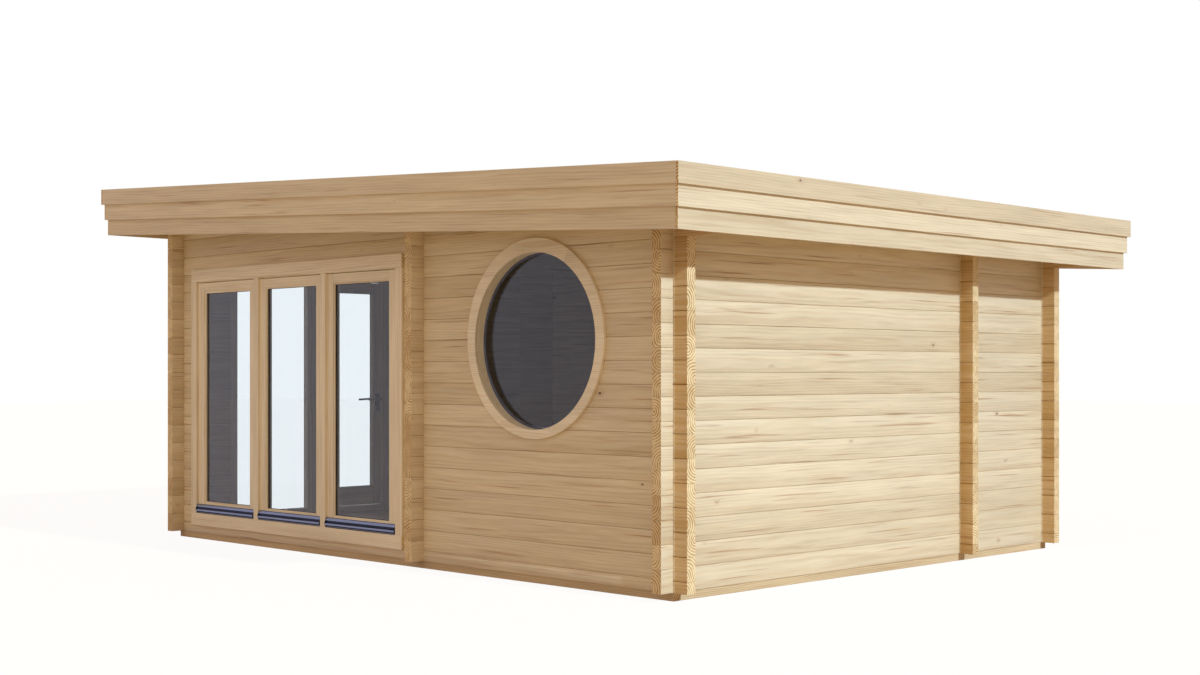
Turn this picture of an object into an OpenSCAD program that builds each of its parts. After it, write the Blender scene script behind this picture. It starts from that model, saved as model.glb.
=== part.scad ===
// Sauna cabin of machined logs under a low mono-pitch roof.
// Millimetres, +Z up. The origin is on the ground at the middle of the plan, the
// front with the tall glazing faces -Y, and the roof falls towards +X.
// Inside the modules a position is measured from the outer corner of the front
// and left walls, and in_plan() moves it to the origin.

/* [Plan] */
// Length of the front and back walls, over their outer faces
wall_w = 5330; // [4440:10:6400]
// Length of the side walls, over their outer faces
wall_d = 4070; // [3390:10:4890]
// Clear width of the lounge behind the front glazing
lounge_w = 2945; // [2750:5:3100]
// Clear depth of the small room at the back
back_room_d = 1015; // [900:5:1200]

/* [Logs] */
// Thickness of a wall log
log_t = 70; // [58:1:90]
// Height of one log course
course_h = 139; // [116:1:167]
// Log ends that run on past a crossing wall
log_end = 103; // [60:1:140]
// Depth, and half the height, of the V joint between two courses
groove = 4; // [2:0.5:6]
// Courses in the right wall, the low one
low_courses = 15.5; // [15.5:1:17.5]

/* [Base and floor] */
// Height of the foundation beams
beam_h = 48; // [38:1:70]
// Width of the foundation beams
beam_w = 54; // [40:1:60]
// Set-in of a foundation beam from the wall's outer face
beam_inset = 7; // [0:1:15]
// Floor surface above the top of the foundation beams
floor_rise = 45; // [35:1:60]
// Thickness of the floor boards
floor_t = 28; // [20:1:32]
// Width of a floor joist
joist_w = 45; // [35:1:60]
// Joists under the lounge floor
lounge_joists = 7; // [4:1:9]
// Gap left round the floor at the walls
floor_gap = 6; // [3:1:12]

/* [Roof] */
// Fall of the roof towards the right, in degrees
roof_pitch = 3.06; // [2:0.02:5]
// Reach of the top fascia board beyond the walls
overhang = 440; // [300:5:560]
// Thickness of the ceiling boards, which are the soffit outside
ceiling_t = 20; // [15:1:28]
// Depth of a rafter
rafter_h = 155; // [120:1:170]
// Width of a rafter
rafter_w = 45; // [35:1:60]
// Number of rafters
rafter_count = 9; // [6:1:11]
// Thickness of the boards over the rafters
deck_t = 20; // [15:1:28]
// Thickness of the roofing membrane
membrane_t = 5; // [3:1:8]
// Visible height of each fascia board
fascia_h = 120; // [100:1:140]
// Thickness of a fascia board, which is also the step between two of them
fascia_t = 19; // [16:1:25]
// Hidden lap of a fascia board behind the one above
fascia_lap = 30; // [20:1:45]

/* [Front glazing] */
// Width of the opening in the front wall
glazing_w = 2590; // [2200:5:2700]
// Courses below the opening
glazing_low = 0.5; // [0.5:1:1.5]
// Courses up to the top of the opening
glazing_high = 14.5; // [13.5:1:14.5]
// Thickness of the side posts of the frame
post_t = 45; // [35:1:60]
// Width of the mullions between the sashes
mullion_w = 46; // [38:1:55]
// Thickness of the frame's head
head_t = 65; // [50:1:80]
// Thickness of the frame's sill
sill_t = 85; // [60:1:100]
// Thickness of a sash
sash_t = 56; // [45:1:57]
// Gap round each sash
sash_gap = 4; // [2:0.5:6]
// Width of a sash stile
stile_w = 76; // [70:1:115]
// Height of a sash top rail
top_rail_h = 66; // [60:1:100]
// Height of a sash bottom rail
bottom_rail_h = 73; // [72:1:120]
// Set-back of the glass from the face of a sash
glass_set_back = 20; // [12:1:24]
// Thickness of a pane
glass_t = 6; // [4:1:12]
// Height of the weather bar on a bottom rail
bar_h = 64; // [50:1:70]
// Reach of a weather bar from the face that it is fixed to
bar_t = 26; // [18:1:32]
// Gap at each end of a weather bar
bar_gap = 3; // [2:0.5:8]

/* [Trim] */
// Thickness of the trim boards
trim_t = 20; // [14:1:26]
// Lap of a trim board over the logs
trim_lap = 35; // [20:1:45]
// Width of the side trim boards of the front glazing
trim_side_w = 72; // [60:1:85]
// Width of the top and bottom trim boards of the front glazing
trim_end_w = 95; // [85:1:99]
// Width of the trim board over a mullion
trim_middle_w = 60; // [50:1:80]
// Lap of the bottom trim board over the logs
trim_bottom_lap = 10; // [5:1:12]

/* [Round window] */
// Diameter over the round trim
window_d = 1240; // [1030:5:1260]
// Width of the round trim
window_trim_w = 74; // [60:1:85]
// Height of the window's middle, in courses
window_courses = 10.5; // [9.5:0.5:10.5]
// Drop of the round opening's middle below the middle of its trim
window_drop = 16; // [0:1:20]
// Thickness of the round frame
window_frame_t = 30; // [24:1:40]
// Set-back of the round pane from the wall's face
window_set_back = 54; // [40:1:58]
// Width of the ledge that the round pane sits against
window_ledge = 14; // [8:1:25]

/* [Side door] */
// Distance of the side door's frame from the front wall's outer face
side_y = 430; // [300:5:500]
// Underside of the frame above the foundation beams
side_low = 50; // [40:1:60]
// Courses up to the top of the frame
side_high = 15; // [14:1:15]
// Thickness of the frame's posts, head and sill
side_frame_t = 50; // [40:1:60]
// Clear width of the fixed light beside the door
side_light_w = 710; // [500:5:750]
// Width of the door leaf
leaf_w = 720; // [650:5:850]
// Thickness of the door leaf
leaf_t = 48; // [40:1:50]
// Gap above, below and at the hinges of the door leaf
leaf_gap = 5; // [5:0.5:7]
// Gap at the lock edge, where the leaf's inner corner swings past
lock_gap = 8; // [7.5:0.5:10]
// Width of the leaf's stiles and height of its top rail
leaf_stile_w = 86; // [80:1:120]
// Height of the leaf's bottom rail
leaf_bottom_h = 150; // [120:1:200]
// Depth that a stop reaches into the doorway behind the leaf
stop_reach = 14; // [8:1:20]
// Part of a post that stays clear of the side door's trim
side_reveal = 3; // [2:1:6]
// Width of the bead round the fixed light
bead_w = 14; // [10:1:20]

/* [Hinges and handle] */
// Radius of a hinge barrel
barrel_r = 7; // [6:0.5:9]
// Length of one hinge knuckle
knuckle_h = 38; // [30:1:50]
// Radius of a hinge pin
pin_r = 4; // [3:0.5:4.5]
// Clearance of a pin or a spindle in its bore
bore_clear = 0.08; // [0.05:0.01:0.1]
// Width of a hinge plate
hinge_plate_w = 34; // [26:1:40]
// Thickness of a hinge plate
hinge_plate_t = 2.5; // [2:0.5:4]
// Distance of the end hinges from the ends of the leaf
hinge_end = 190; // [150:5:260]
// Height of the handle above the foundation beams
handle_rise = 1020; // [950:5:1050]
// Radius of the handle's neck
neck_r = 9; // [7:0.5:11]
// Distance of a lever's middle from the leaf's face
lever_out = 48; // [42:1:60]
// Length of a lever from the spindle to its tip
lever_l = 130; // [110:1:150]
// Radius of a lever
lever_r = 8.5; // [7:0.5:10]
// Height of a handle plate
plate_h = 160; // [150:5:250]
// Width of a handle plate
plate_w = 42; // [34:1:48]
// Thickness of a handle plate
plate_t = 7; // [5:1:9]

/* [Partition doorways] */
// Distance of the front doorway from the front wall's outer face
doorway_y = 860; // [700:5:900]
// Width of the front doorway
doorway_w = 800; // [700:5:850]
// Width of the back doorway
back_doorway_w = 700; // [600:5:750]
// Courses up to the top of both doorways
doorway_high = 14; // [14:1:15]

/* [Hidden] */
$fn = 96;

// How far a cutting shape runs past what it cuts
past = 10;
// Faces of the inner walls that look towards the left and the front
partition_x = log_t + lounge_w;
partition_y = wall_d - 2 * log_t - back_room_d;
// The log over the highest joint of a wall's end runs out to the fascia
roof_end = overhang - 3 * fascia_t;
floor_top = beam_h + floor_rise;
tallest = beam_h + 20 * course_h;

// Front glazing: the opening, the frame inside it and the three sashes between mullions
glazing_x = log_t + (lounge_w - glazing_w) / 2;
glazing_z0 = beam_h + glazing_low * course_h;
glazing_z1 = beam_h + glazing_high * course_h;
sash_z0 = glazing_z0 + sill_t + sash_gap;
sash_z1 = glazing_z1 - head_t - sash_gap;
// A sash is a whole number of tenths wide, and the last gap takes what is left over
sash_w = floor(10 * (glazing_w - 2 * post_t - 2 * mullion_w - 6 * sash_gap) / 3) / 10;
sash_step = sash_w + 2 * sash_gap + mullion_w;
sash_x = [for (i = [0:2]) glazing_x + post_t + sash_gap + i * sash_step];
mullion_x = [for (i = [1:2]) sash_x[i] - sash_gap - mullion_w / 2];

// Round window, in the middle of the bay beside the long partition
window_x = (partition_x + log_t + wall_w - log_t) / 2;
window_z = beam_h + window_courses * course_h;
window_r = window_d / 2 - window_trim_w;
window_hole_r = window_r + window_frame_t;
window_hole_z = window_z - window_drop;

// Side door: the frame, the fixed light and the leaf
side_z0 = beam_h + side_low;
side_z1 = beam_h + side_high * course_h;
light_y = side_y + side_frame_t;
mullion_y = light_y + side_light_w;
hinge_y = mullion_y + side_frame_t;
leaf_y = hinge_y + leaf_gap;
lock_post_y = leaf_y + leaf_w + lock_gap;
side_end = lock_post_y + side_frame_t;
leaf_z0 = side_z0 + side_frame_t + leaf_gap;
leaf_z1 = side_z1 - side_frame_t - leaf_gap;
hinge_z = [leaf_z0 + hinge_end, (leaf_z0 + leaf_z1) / 2, leaf_z1 - hinge_end];
// The pins stand clear of the frame's face by the last millimetre here
hinge_x = -barrel_r - 1;
handle_y = leaf_y + leaf_w - leaf_stile_w / 2;
handle_z = beam_h + handle_rise;

// Doorways in the long partition
back_doorway_y = partition_y + log_t + (back_room_d - back_doorway_w) / 2;
doorway_z = beam_h + doorway_high * course_h;

// Underside of the ceiling boards at a distance x from the left wall's face
function roof_z(x) = beam_h + low_courses * course_h + tan(roof_pitch) * (wall_w - x);

// Height of the last joint that leaves a log of at least one course under the roof
function last_joint(x) =
    beam_h + (floor((roof_z(x) - beam_h) / course_h - 1) + 0.5) * course_h;

// Heights of the joints between z0 and z1, the first one "first" courses up
function joints(z0, z1, first) = [
    for (k = [first : 1 : 20])
        let (z = beam_h + k * course_h)
        if (z > z0 + groove && z < z1 - groove) z
];

// Section of a log wall: two faces with a V at each joint
function log_section(z0, left_top, right_top, first) =
    let (z = joints(z0, min(left_top, right_top), first), n = len(z))
    concat(
        [[0, z0], [log_t, z0]],
        [for (i = [0 : 1 : n - 1])
            each [[log_t, z[i] - groove], [log_t - groove, z[i]], [log_t, z[i] + groove]]],
        [[log_t, right_top], [0, left_top]],
        [for (i = [n - 1 : -1 : 0])
            each [[0, z[i] + groove], [groove, z[i]], [0, z[i] - groove]]]
    );

module in_plan() {
    translate([-wall_w / 2, -wall_d / 2, 0]) children();
}

// A box between two opposite corners
module block(low, high) {
    translate(low) cube(high - low);
}

// An outline drawn in X and Z, made solid from y0 to y1
module stand_up(y0, y1) {
    translate([0, y1, 0]) rotate([90, 0, 0]) linear_extrude(y1 - y0) children();
}

// A log wall along X whose near face is at y, cut to the outline given as a child
module logs_along_x(y) {
    intersection() {
        translate([-overhang, y, 0]) rotate([90, 0, 90])
            linear_extrude(wall_w + 2 * overhang)
                polygon(log_section(beam_h, tallest, tallest, 0.5));
        stand_up(y - past, y + log_t + past) children();
    }
}

// A log wall along Y whose left face is at x, up to the roof
module logs_along_y(x, y0, y1, z0 = beam_h) {
    stand_up(y0, y1)
        translate([x, 0]) polygon(log_section(z0, roof_z(x), roof_z(x + log_t), 1));
}

// The outline of the front and back walls with their log ends and, on the low side,
// the long top logs
module gable_outline() {
    far = wall_w + log_end;
    polygon([
        [-log_end, beam_h], [far, beam_h],
        [far, last_joint(wall_w)], [wall_w + roof_end, last_joint(wall_w)],
        [wall_w + roof_end, roof_z(wall_w + roof_end)], [-log_end, roof_z(-log_end)]
    ]);
}

// The part of the front wall between two distances along it
module front_wall_part(x0, x1) {
    intersection() {
        gable_outline();
        translate([x0, 0]) square([x1 - x0, tallest]);
    }
}

// A slab that follows the fall of the roof, from the underside "rise" above the
// ceiling's underside, and as far in from the top fascia's face as "inset"
module roof_slab(rise, thickness, inset, y0, y1) {
    x0 = inset - overhang;
    x1 = wall_w + overhang - inset;
    stand_up(y0, y1) polygon([
        [x0, roof_z(x0) + rise], [x1, roof_z(x1) + rise],
        [x1, roof_z(x1) + rise + thickness], [x0, roof_z(x0) + rise + thickness]
    ]);
}

// Front and back boards of a fascia tier: 0 is the lowest and innermost
module fascia_ends(tier, lap) {
    inset = (2 - tier) * fascia_t;
    face = inset - overhang;
    for (y = [face, wall_d - face - fascia_t])
        roof_slab(tier * fascia_h - fascia_h, fascia_h + lap, inset + fascia_t,
            y, y + fascia_t);
}

// Left and right boards of a fascia tier, which run past the front and back ones
module fascia_sides(tier, lap) {
    inset = (2 - tier) * fascia_t;
    face = inset - overhang;
    for (x = [face, wall_w - face - fascia_t])
        stand_up(face, wall_d - face) polygon([
            [x, roof_z(x) + (tier - 1) * fascia_h],
            [x + fascia_t, roof_z(x + fascia_t) + (tier - 1) * fascia_h],
            [x + fascia_t, roof_z(x + fascia_t) + tier * fascia_h + lap],
            [x, roof_z(x) + tier * fascia_h + lap]
        ]);
}

module foundation_beams_across() {
    color("burlywood") in_plan() {
        for (y = [beam_inset, wall_d - beam_inset - beam_w])
            block([beam_inset, y, 0], [wall_w - beam_inset, y + beam_w, beam_h]);
        y = partition_y + (log_t - beam_w) / 2;
        block([partition_x + (log_t + beam_w) / 2, y, 0],
            [wall_w - beam_inset, y + beam_w, beam_h]);
    }
}

module foundation_beams_along() {
    near = beam_inset + beam_w;
    far = wall_d - beam_inset - beam_w;
    middle = partition_y + (log_t - beam_w) / 2;
    right = wall_w - beam_inset - beam_w;
    color("burlywood") in_plan() {
        for (x = [beam_inset, partition_x + (log_t - beam_w) / 2])
            block([x, near, 0], [x + beam_w, far, beam_h]);
        block([right, near, 0], [right + beam_w, middle, beam_h]);
        block([right, middle + beam_w, 0], [right + beam_w, far, beam_h]);
    }
}

// Joists along X, spread evenly between the beams of one room
module joists(x0, x1, y0, y1, count) {
    for (i = [0 : count - 1]) {
        y = y0 + (i + 0.5) * (y1 - y0) / count - joist_w / 2;
        block([x0, y, 0], [x1, y + joist_w, floor_top - floor_t]);
    }
}

module floor_joists() {
    spacing = (wall_d - 2 * log_t) / lounge_joists;
    color("tan") in_plan() {
        joists(log_t + floor_gap, partition_x - floor_gap, log_t, wall_d - log_t,
            lounge_joists);
        joists(partition_x + log_t + floor_gap, wall_w - log_t - floor_gap,
            log_t, partition_y, round((partition_y - log_t) / spacing));
        joists(partition_x + log_t + floor_gap, wall_w - log_t - floor_gap,
            partition_y + log_t, wall_d - log_t, round(back_room_d / spacing));
    }
}

module floor_boards() {
    low = floor_top - floor_t;
    right = [partition_x + log_t + floor_gap, wall_w - log_t - floor_gap];
    color("burlywood") in_plan() {
        block([log_t + floor_gap, log_t + floor_gap, low],
            [partition_x - floor_gap, wall_d - log_t - floor_gap, floor_top]);
        block([right[0], log_t + floor_gap, low],
            [right[1], partition_y - floor_gap, floor_top]);
        block([right[0], partition_y + log_t + floor_gap, low],
            [right[1], wall_d - log_t - floor_gap, floor_top]);
    }
}

module front_wall_left() {
    color("wheat") in_plan() logs_along_x(0)
        front_wall_part(-overhang, glazing_x);
}

module front_wall_at_glazing() {
    color("wheat") in_plan() logs_along_x(0) difference() {
        front_wall_part(glazing_x, glazing_x + glazing_w);
        translate([glazing_x - past, glazing_z0])
            square([glazing_w + 2 * past, glazing_z1 - glazing_z0]);
    }
}

module front_wall_right() {
    color("wheat") in_plan() logs_along_x(0) difference() {
        front_wall_part(glazing_x + glazing_w, wall_w + overhang);
        translate([window_x, window_hole_z]) circle(window_hole_r);
    }
}

module back_wall() {
    color("wheat") in_plan() logs_along_x(wall_d - log_t) gable_outline();
}

// The two log ends of a wall along Y, outside the front and back walls
module log_ends_along_y(x) {
    logs_along_y(x, -log_end, 0);
    logs_along_y(x, wall_d, wall_d + log_end);
}

module left_wall() {
    color("wheat") in_plan() {
        logs_along_y(0, log_t, side_y);
        logs_along_y(0, side_end, wall_d - log_t);
        log_ends_along_y(0);
    }
}

module left_wall_at_door() {
    color("wheat") in_plan() {
        block([0, side_y, beam_h], [log_t, side_end, side_z0]);
        logs_along_y(0, side_y, side_end, side_z1);
    }
}

module right_wall() {
    color("wheat") in_plan() {
        logs_along_y(wall_w - log_t, log_t, wall_d - log_t);
        log_ends_along_y(wall_w - log_t);
    }
}

module long_partition() {
    color("wheat") in_plan() {
        logs_along_y(partition_x, log_t, doorway_y);
        logs_along_y(partition_x, doorway_y + doorway_w, back_doorway_y);
        logs_along_y(partition_x, back_doorway_y + back_doorway_w, wall_d - log_t);
        log_ends_along_y(partition_x);
    }
}

// Over each doorway a header, and under it the threshold
module long_partition_headers() {
    color("wheat") in_plan()
        for (way = [[doorway_y, doorway_w], [back_doorway_y, back_doorway_w]]) {
            logs_along_y(partition_x, way[0], way[0] + way[1], doorway_z);
            block([partition_x, way[0], beam_h],
                [partition_x + log_t, way[0] + way[1], floor_top]);
        }
}

// Inside it meets the long partition, and outside its log ends cross the right wall
module short_partition() {
    color("wheat") in_plan() logs_along_x(partition_y) {
        for (span = [[partition_x + log_t, wall_w - log_t], [wall_w, wall_w + log_end]])
            polygon([
                [span[0], beam_h], [span[1], beam_h],
                [span[1], roof_z(span[1])], [span[0], roof_z(span[0])]
            ]);
    }
}

module ceiling_boards() {
    color("tan") in_plan()
        roof_slab(0, ceiling_t, 3 * fascia_t, -roof_end, wall_d + roof_end);
}

// The rafters stop a hair under the deck, so that the two slopes never cross
module rafters() {
    hair = 0.05;
    first = -roof_end;
    step = (wall_d + 2 * roof_end - rafter_w) / (rafter_count - 1);
    color("tan") in_plan()
        for (i = [0 : rafter_count - 1])
            roof_slab(ceiling_t, rafter_h - hair, 3 * fascia_t,
                first + i * step, first + i * step + rafter_w);
}

module roof_deck() {
    color("tan") in_plan()
        roof_slab(ceiling_t + rafter_h, deck_t, fascia_t,
            fascia_t - overhang, wall_d + overhang - fascia_t);
}

module roof_membrane() {
    color("dimgray") in_plan()
        roof_slab(ceiling_t + rafter_h + deck_t, membrane_t, fascia_t,
            fascia_t - overhang, wall_d + overhang - fascia_t);
}

module top_fascia_ends() {
    color("burlywood") in_plan() fascia_ends(2, 0);
}

module top_fascia_sides() {
    color("burlywood") in_plan() fascia_sides(2, 0);
}

module middle_fascia_ends() {
    color("burlywood") in_plan() fascia_ends(1, fascia_lap);
}

module middle_fascia_sides() {
    color("burlywood") in_plan() fascia_sides(1, fascia_lap);
}

module bottom_fascia_ends() {
    color("burlywood") in_plan() fascia_ends(0, fascia_lap);
}

module bottom_fascia_sides() {
    color("burlywood") in_plan() fascia_sides(0, fascia_lap);
}

module glazing_posts() {
    color("burlywood") in_plan() {
        for (x = [glazing_x, glazing_x + glazing_w - post_t])
            block([x, 0, glazing_z0], [x + post_t, log_t, glazing_z1]);
        for (x = mullion_x)
            block([x - mullion_w / 2, 0, glazing_z0 + sill_t],
                [x + mullion_w / 2, log_t, glazing_z1 - head_t]);
    }
}

module glazing_head_and_sill() {
    x0 = glazing_x + post_t;
    x1 = glazing_x + glazing_w - post_t;
    color("burlywood") in_plan() {
        block([x0, 0, glazing_z1 - head_t], [x1, log_t, glazing_z1]);
        block([x0, 0, glazing_z0], [x1, log_t, glazing_z0 + sill_t]);
    }
}

module sash_stiles() {
    color("burlywood") in_plan()
        for (x = sash_x, side = [0, sash_w - stile_w])
            block([x + side, 0, sash_z0], [x + side + stile_w, sash_t, sash_z1]);
}

module sash_rails() {
    color("burlywood") in_plan()
        for (x = sash_x) {
            x0 = x + stile_w;
            x1 = x + sash_w - stile_w;
            block([x0, 0, sash_z0], [x1, sash_t, sash_z0 + bottom_rail_h]);
            block([x0, 0, sash_z1 - top_rail_h], [x1, sash_t, sash_z1]);
        }
}

// A weather bar on the face of a bottom rail: a sloping nose over a drip lip.
// Its outline is drawn outwards and up, from the face that it is fixed to.
module weather_bar_outline() {
    lip = bar_h / 4;
    polygon([
        [0, 0], [bar_t / 2, 0], [bar_t / 2, lip], [bar_t, lip],
        [bar_t, 2 * lip], [bar_t / 3, bar_h], [0, bar_h]
    ]);
}

module sash_weather_bars() {
    side = trim_side_w - trim_lap + bar_gap;
    middle = trim_middle_w / 2 + bar_gap;
    x0 = [glazing_x + side, mullion_x[0] + middle, mullion_x[1] + middle];
    x1 = [mullion_x[0] - middle, mullion_x[1] - middle, glazing_x + glazing_w - side];
    color("gray") in_plan()
        for (i = [0 : 2])
            translate([x0[i], 0, sash_z0]) rotate([90, 0, 90])
                linear_extrude(x1[i] - x0[i]) mirror([1, 0]) weather_bar_outline();
}

// A round frame that stands in the front wall, with the opening of the window
module window_ring(outer_r, inner_r, y0, y1) {
    translate([window_x, 0, window_hole_z]) stand_up(y0, y1) difference() {
        circle(outer_r);
        circle(inner_r);
    }
}

// The trim's outline is a little higher than the opening, so it is wider above
module round_window_trim() {
    color("burlywood") in_plan() stand_up(-trim_t, 0) difference() {
        translate([window_x, window_z]) circle(d = window_d);
        translate([window_x, window_hole_z]) circle(window_r);
    }
}

module round_window_frame() {
    color("burlywood") in_plan() {
        window_ring(window_hole_r, window_r, 0, log_t);
        window_ring(window_hole_r - window_frame_t / 2, window_r - window_ledge,
            window_set_back + glass_t, log_t);
    }
}

module fixed_glass() {
    color("slategray", 0.5) in_plan() {
        for (x = sash_x)
            block([x + stile_w, glass_set_back, sash_z0 + bottom_rail_h],
                [x + sash_w - stile_w, glass_set_back + glass_t, sash_z1 - top_rail_h]);
        translate([window_x, 0, window_hole_z])
            stand_up(window_set_back, window_set_back + glass_t) circle(window_r);
        block([glass_set_back, light_y, side_z0 + side_frame_t],
            [glass_set_back + glass_t, mullion_y, side_z1 - side_frame_t]);
    }
}

// Upright trim boards: two beside the glazing, one over each of its mullions, and
// two at the side door
module trim_boards_upright() {
    glazing_low_z = glazing_z0 - trim_bottom_lap + trim_end_w;
    glazing_high_z = glazing_z1 + trim_lap - trim_end_w;
    side_trim_w = side_frame_t - side_reveal + trim_lap;
    color("burlywood") in_plan() {
        for (x = [glazing_x - trim_lap, glazing_x + glazing_w + trim_lap - trim_side_w])
            block([x, -trim_t, glazing_low_z], [x + trim_side_w, 0, glazing_high_z]);
        for (x = mullion_x)
            block([x - trim_middle_w / 2, -trim_t, glazing_low_z],
                [x + trim_middle_w / 2, 0, glazing_high_z]);
        for (y = [side_y - trim_lap, side_end + trim_lap - side_trim_w])
            block([-trim_t, y, side_z0 + side_frame_t - side_reveal],
                [0, y + side_trim_w, side_z1 - side_frame_t + side_reveal]);
    }
}

// Level trim boards, which run over the ends of the upright ones
module trim_boards_level() {
    color("burlywood") in_plan() {
        for (z = [glazing_z0 - trim_bottom_lap, glazing_z1 + trim_lap - trim_end_w])
            block([glazing_x - trim_lap, -trim_t, z],
                [glazing_x + glazing_w + trim_lap, 0, z + trim_end_w]);
        block([-trim_t, side_y - trim_lap, side_z0 - trim_bottom_lap],
            [0, side_end + trim_lap, side_z0 + side_frame_t - side_reveal]);
        block([-trim_t, side_y - trim_lap, side_z1 - side_frame_t + side_reveal],
            [0, side_end + trim_lap, side_z1 + trim_lap]);
    }
}

// Posts of the side door with the stops behind the leaf, and the light's beads
module side_door_posts() {
    z0 = side_z0 + side_frame_t;
    z1 = side_z1 - side_frame_t;
    stop_x = leaf_t + leaf_gap;
    color("burlywood") in_plan() {
        block([0, side_y, side_z0], [log_t, light_y, side_z1]);
        union() {
            block([0, mullion_y, side_z0], [log_t, hinge_y, side_z1]);
            block([stop_x, hinge_y - past, z0], [log_t, hinge_y + stop_reach, z1]);
        }
        union() {
            block([0, lock_post_y, side_z0], [log_t, side_end, side_z1]);
            block([stop_x, lock_post_y - stop_reach, z0],
                [log_t, lock_post_y + past, z1]);
        }
        for (y = [light_y, mullion_y - bead_w])
            block([glass_set_back + glass_t, y, z0], [log_t, y + bead_w, z1]);
    }
}

module side_door_head_and_sill() {
    color("burlywood") in_plan()
        for (z = [side_z0, side_z1 - side_frame_t], span = [
            [light_y, mullion_y], [hinge_y, lock_post_y]
        ])
            block([0, span[0], z], [log_t, span[1], z + side_frame_t]);
}

// Fixed half of each hinge: a plate on the post, the lower knuckle and the pin
module side_door_hinge_pins() {
    color("silver") in_plan() for (z = hinge_z) {
        block([-hinge_plate_t, hinge_y - hinge_plate_w, z - knuckle_h], [0, hinge_y, z]);
        translate([hinge_x, hinge_y, z - knuckle_h]) cylinder(knuckle_h, r = barrel_r);
        translate([hinge_x, hinge_y, z - past])
            cylinder(knuckle_h + past, r = pin_r);
    }
}

// Moving half of each hinge: a plate on the leaf and the knuckle over the pin
module side_door_hinge_knuckles() {
    low = 1;
    color("silver") in_plan() for (z = hinge_z) difference() {
        union() {
            block([-hinge_plate_t, hinge_y, z + low],
                [0, hinge_y + hinge_plate_w, z + knuckle_h]);
            translate([hinge_x, hinge_y, z + low])
                cylinder(knuckle_h - low, r = barrel_r);
        }
        translate([hinge_x, hinge_y, z - past])
            cylinder(knuckle_h + 2 * past, r = pin_r + bore_clear);
    }
}

module side_door_stiles() {
    lock_y = leaf_y + leaf_w - leaf_stile_w;
    color("burlywood") in_plan() difference() {
        for (y = [leaf_y, lock_y])
            block([0, y, leaf_z0], [leaf_t, y + leaf_stile_w, leaf_z1]);
        translate([-past, handle_y, handle_z]) rotate([0, 90, 0])
            cylinder(leaf_t + 2 * past, r = neck_r + bore_clear);
    }
}

module side_door_rails() {
    y0 = leaf_y + leaf_stile_w;
    y1 = leaf_y + leaf_w - leaf_stile_w;
    color("burlywood") in_plan() {
        block([0, y0, leaf_z0], [leaf_t, y1, leaf_z0 + leaf_bottom_h]);
        block([0, y0, leaf_z1 - leaf_stile_w], [leaf_t, y1, leaf_z1]);
    }
}

module side_door_glass() {
    color("slategray", 0.5) in_plan()
        block([glass_set_back, leaf_y + leaf_stile_w, leaf_z0 + leaf_bottom_h],
            [glass_set_back + glass_t, leaf_y + leaf_w - leaf_stile_w,
                leaf_z1 - leaf_stile_w]);
}

module side_door_weather_bar() {
    inset = 2 * leaf_gap;
    color("gray") in_plan() translate([0, 0, leaf_z0])
        stand_up(leaf_y + inset, leaf_y + leaf_w - inset)
            mirror([1, 0]) weather_bar_outline();
}

// One plate on each face of the leaf, with a bore for the handle's neck
module side_door_handle_plates() {
    color("dimgray") in_plan() for (x = [-plate_t, leaf_t]) difference() {
        block([x, handle_y - plate_w / 2, handle_z - 0.7 * plate_h],
            [x + plate_t, handle_y + plate_w / 2, handle_z + 0.3 * plate_h]);
        translate([x - past, handle_y, handle_z]) rotate([0, 90, 0])
            cylinder(plate_t + 2 * past, r = neck_r + bore_clear);
    }
}

// Two levers on one spindle, which point away from the lock's edge
module side_door_handles() {
    out = [-lever_out, leaf_t + lever_out];
    color("dimgray") in_plan() union() {
        translate([out[0], handle_y, handle_z]) rotate([0, 90, 0])
            cylinder(out[1] - out[0], r = neck_r);
        for (x = out) {
            translate([x, handle_y, handle_z]) sphere(neck_r);
            translate([x, handle_y, handle_z]) rotate([90, 0, 0])
                cylinder(lever_l - lever_r, r = lever_r);
            translate([x, handle_y - lever_l + lever_r, handle_z]) sphere(lever_r);
        }
    }
}

foundation_beams_across();
foundation_beams_along();
floor_joists();
floor_boards();
front_wall_left();
front_wall_at_glazing();
front_wall_right();
back_wall();
left_wall();
left_wall_at_door();
right_wall();
long_partition();
long_partition_headers();
short_partition();
ceiling_boards();
rafters();
roof_deck();
roof_membrane();
top_fascia_ends();
top_fascia_sides();
middle_fascia_ends();
middle_fascia_sides();
bottom_fascia_ends();
bottom_fascia_sides();
glazing_posts();
glazing_head_and_sill();
sash_stiles();
sash_rails();
sash_weather_bars();
round_window_trim();
round_window_frame();
fixed_glass();
trim_boards_upright();
trim_boards_level();
side_door_posts();
side_door_head_and_sill();
side_door_hinge_pins();
side_door_stiles();
side_door_rails();
side_door_glass();
side_door_weather_bar();
side_door_hinge_knuckles();
side_door_handle_plates();
side_door_handles();
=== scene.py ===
"""Log sauna cabin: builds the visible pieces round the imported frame, with their finishes and the stage."""
import math

import bmesh
import bpy
import numpy as np
from bpy.props import FloatProperty, FloatVectorProperty, PointerProperty
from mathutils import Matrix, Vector


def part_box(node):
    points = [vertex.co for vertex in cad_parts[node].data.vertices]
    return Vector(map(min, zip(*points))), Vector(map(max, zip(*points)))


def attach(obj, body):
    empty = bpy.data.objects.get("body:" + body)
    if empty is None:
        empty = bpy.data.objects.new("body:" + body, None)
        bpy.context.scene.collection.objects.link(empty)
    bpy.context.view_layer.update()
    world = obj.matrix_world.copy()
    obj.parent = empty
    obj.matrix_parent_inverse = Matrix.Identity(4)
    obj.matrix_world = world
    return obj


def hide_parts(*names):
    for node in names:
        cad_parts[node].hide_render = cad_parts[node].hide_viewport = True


bl_info = {
    "name": "Log sauna cabin",
    "version": (1, 0, 0),
    "blender": (4, 5, 0),
    "location": "View3D > Sidebar > Cabin",
    "description": "Logs, boards, glazing, side door and finishes of a log sauna cabin",
    "category": "Add Mesh",
}

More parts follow.
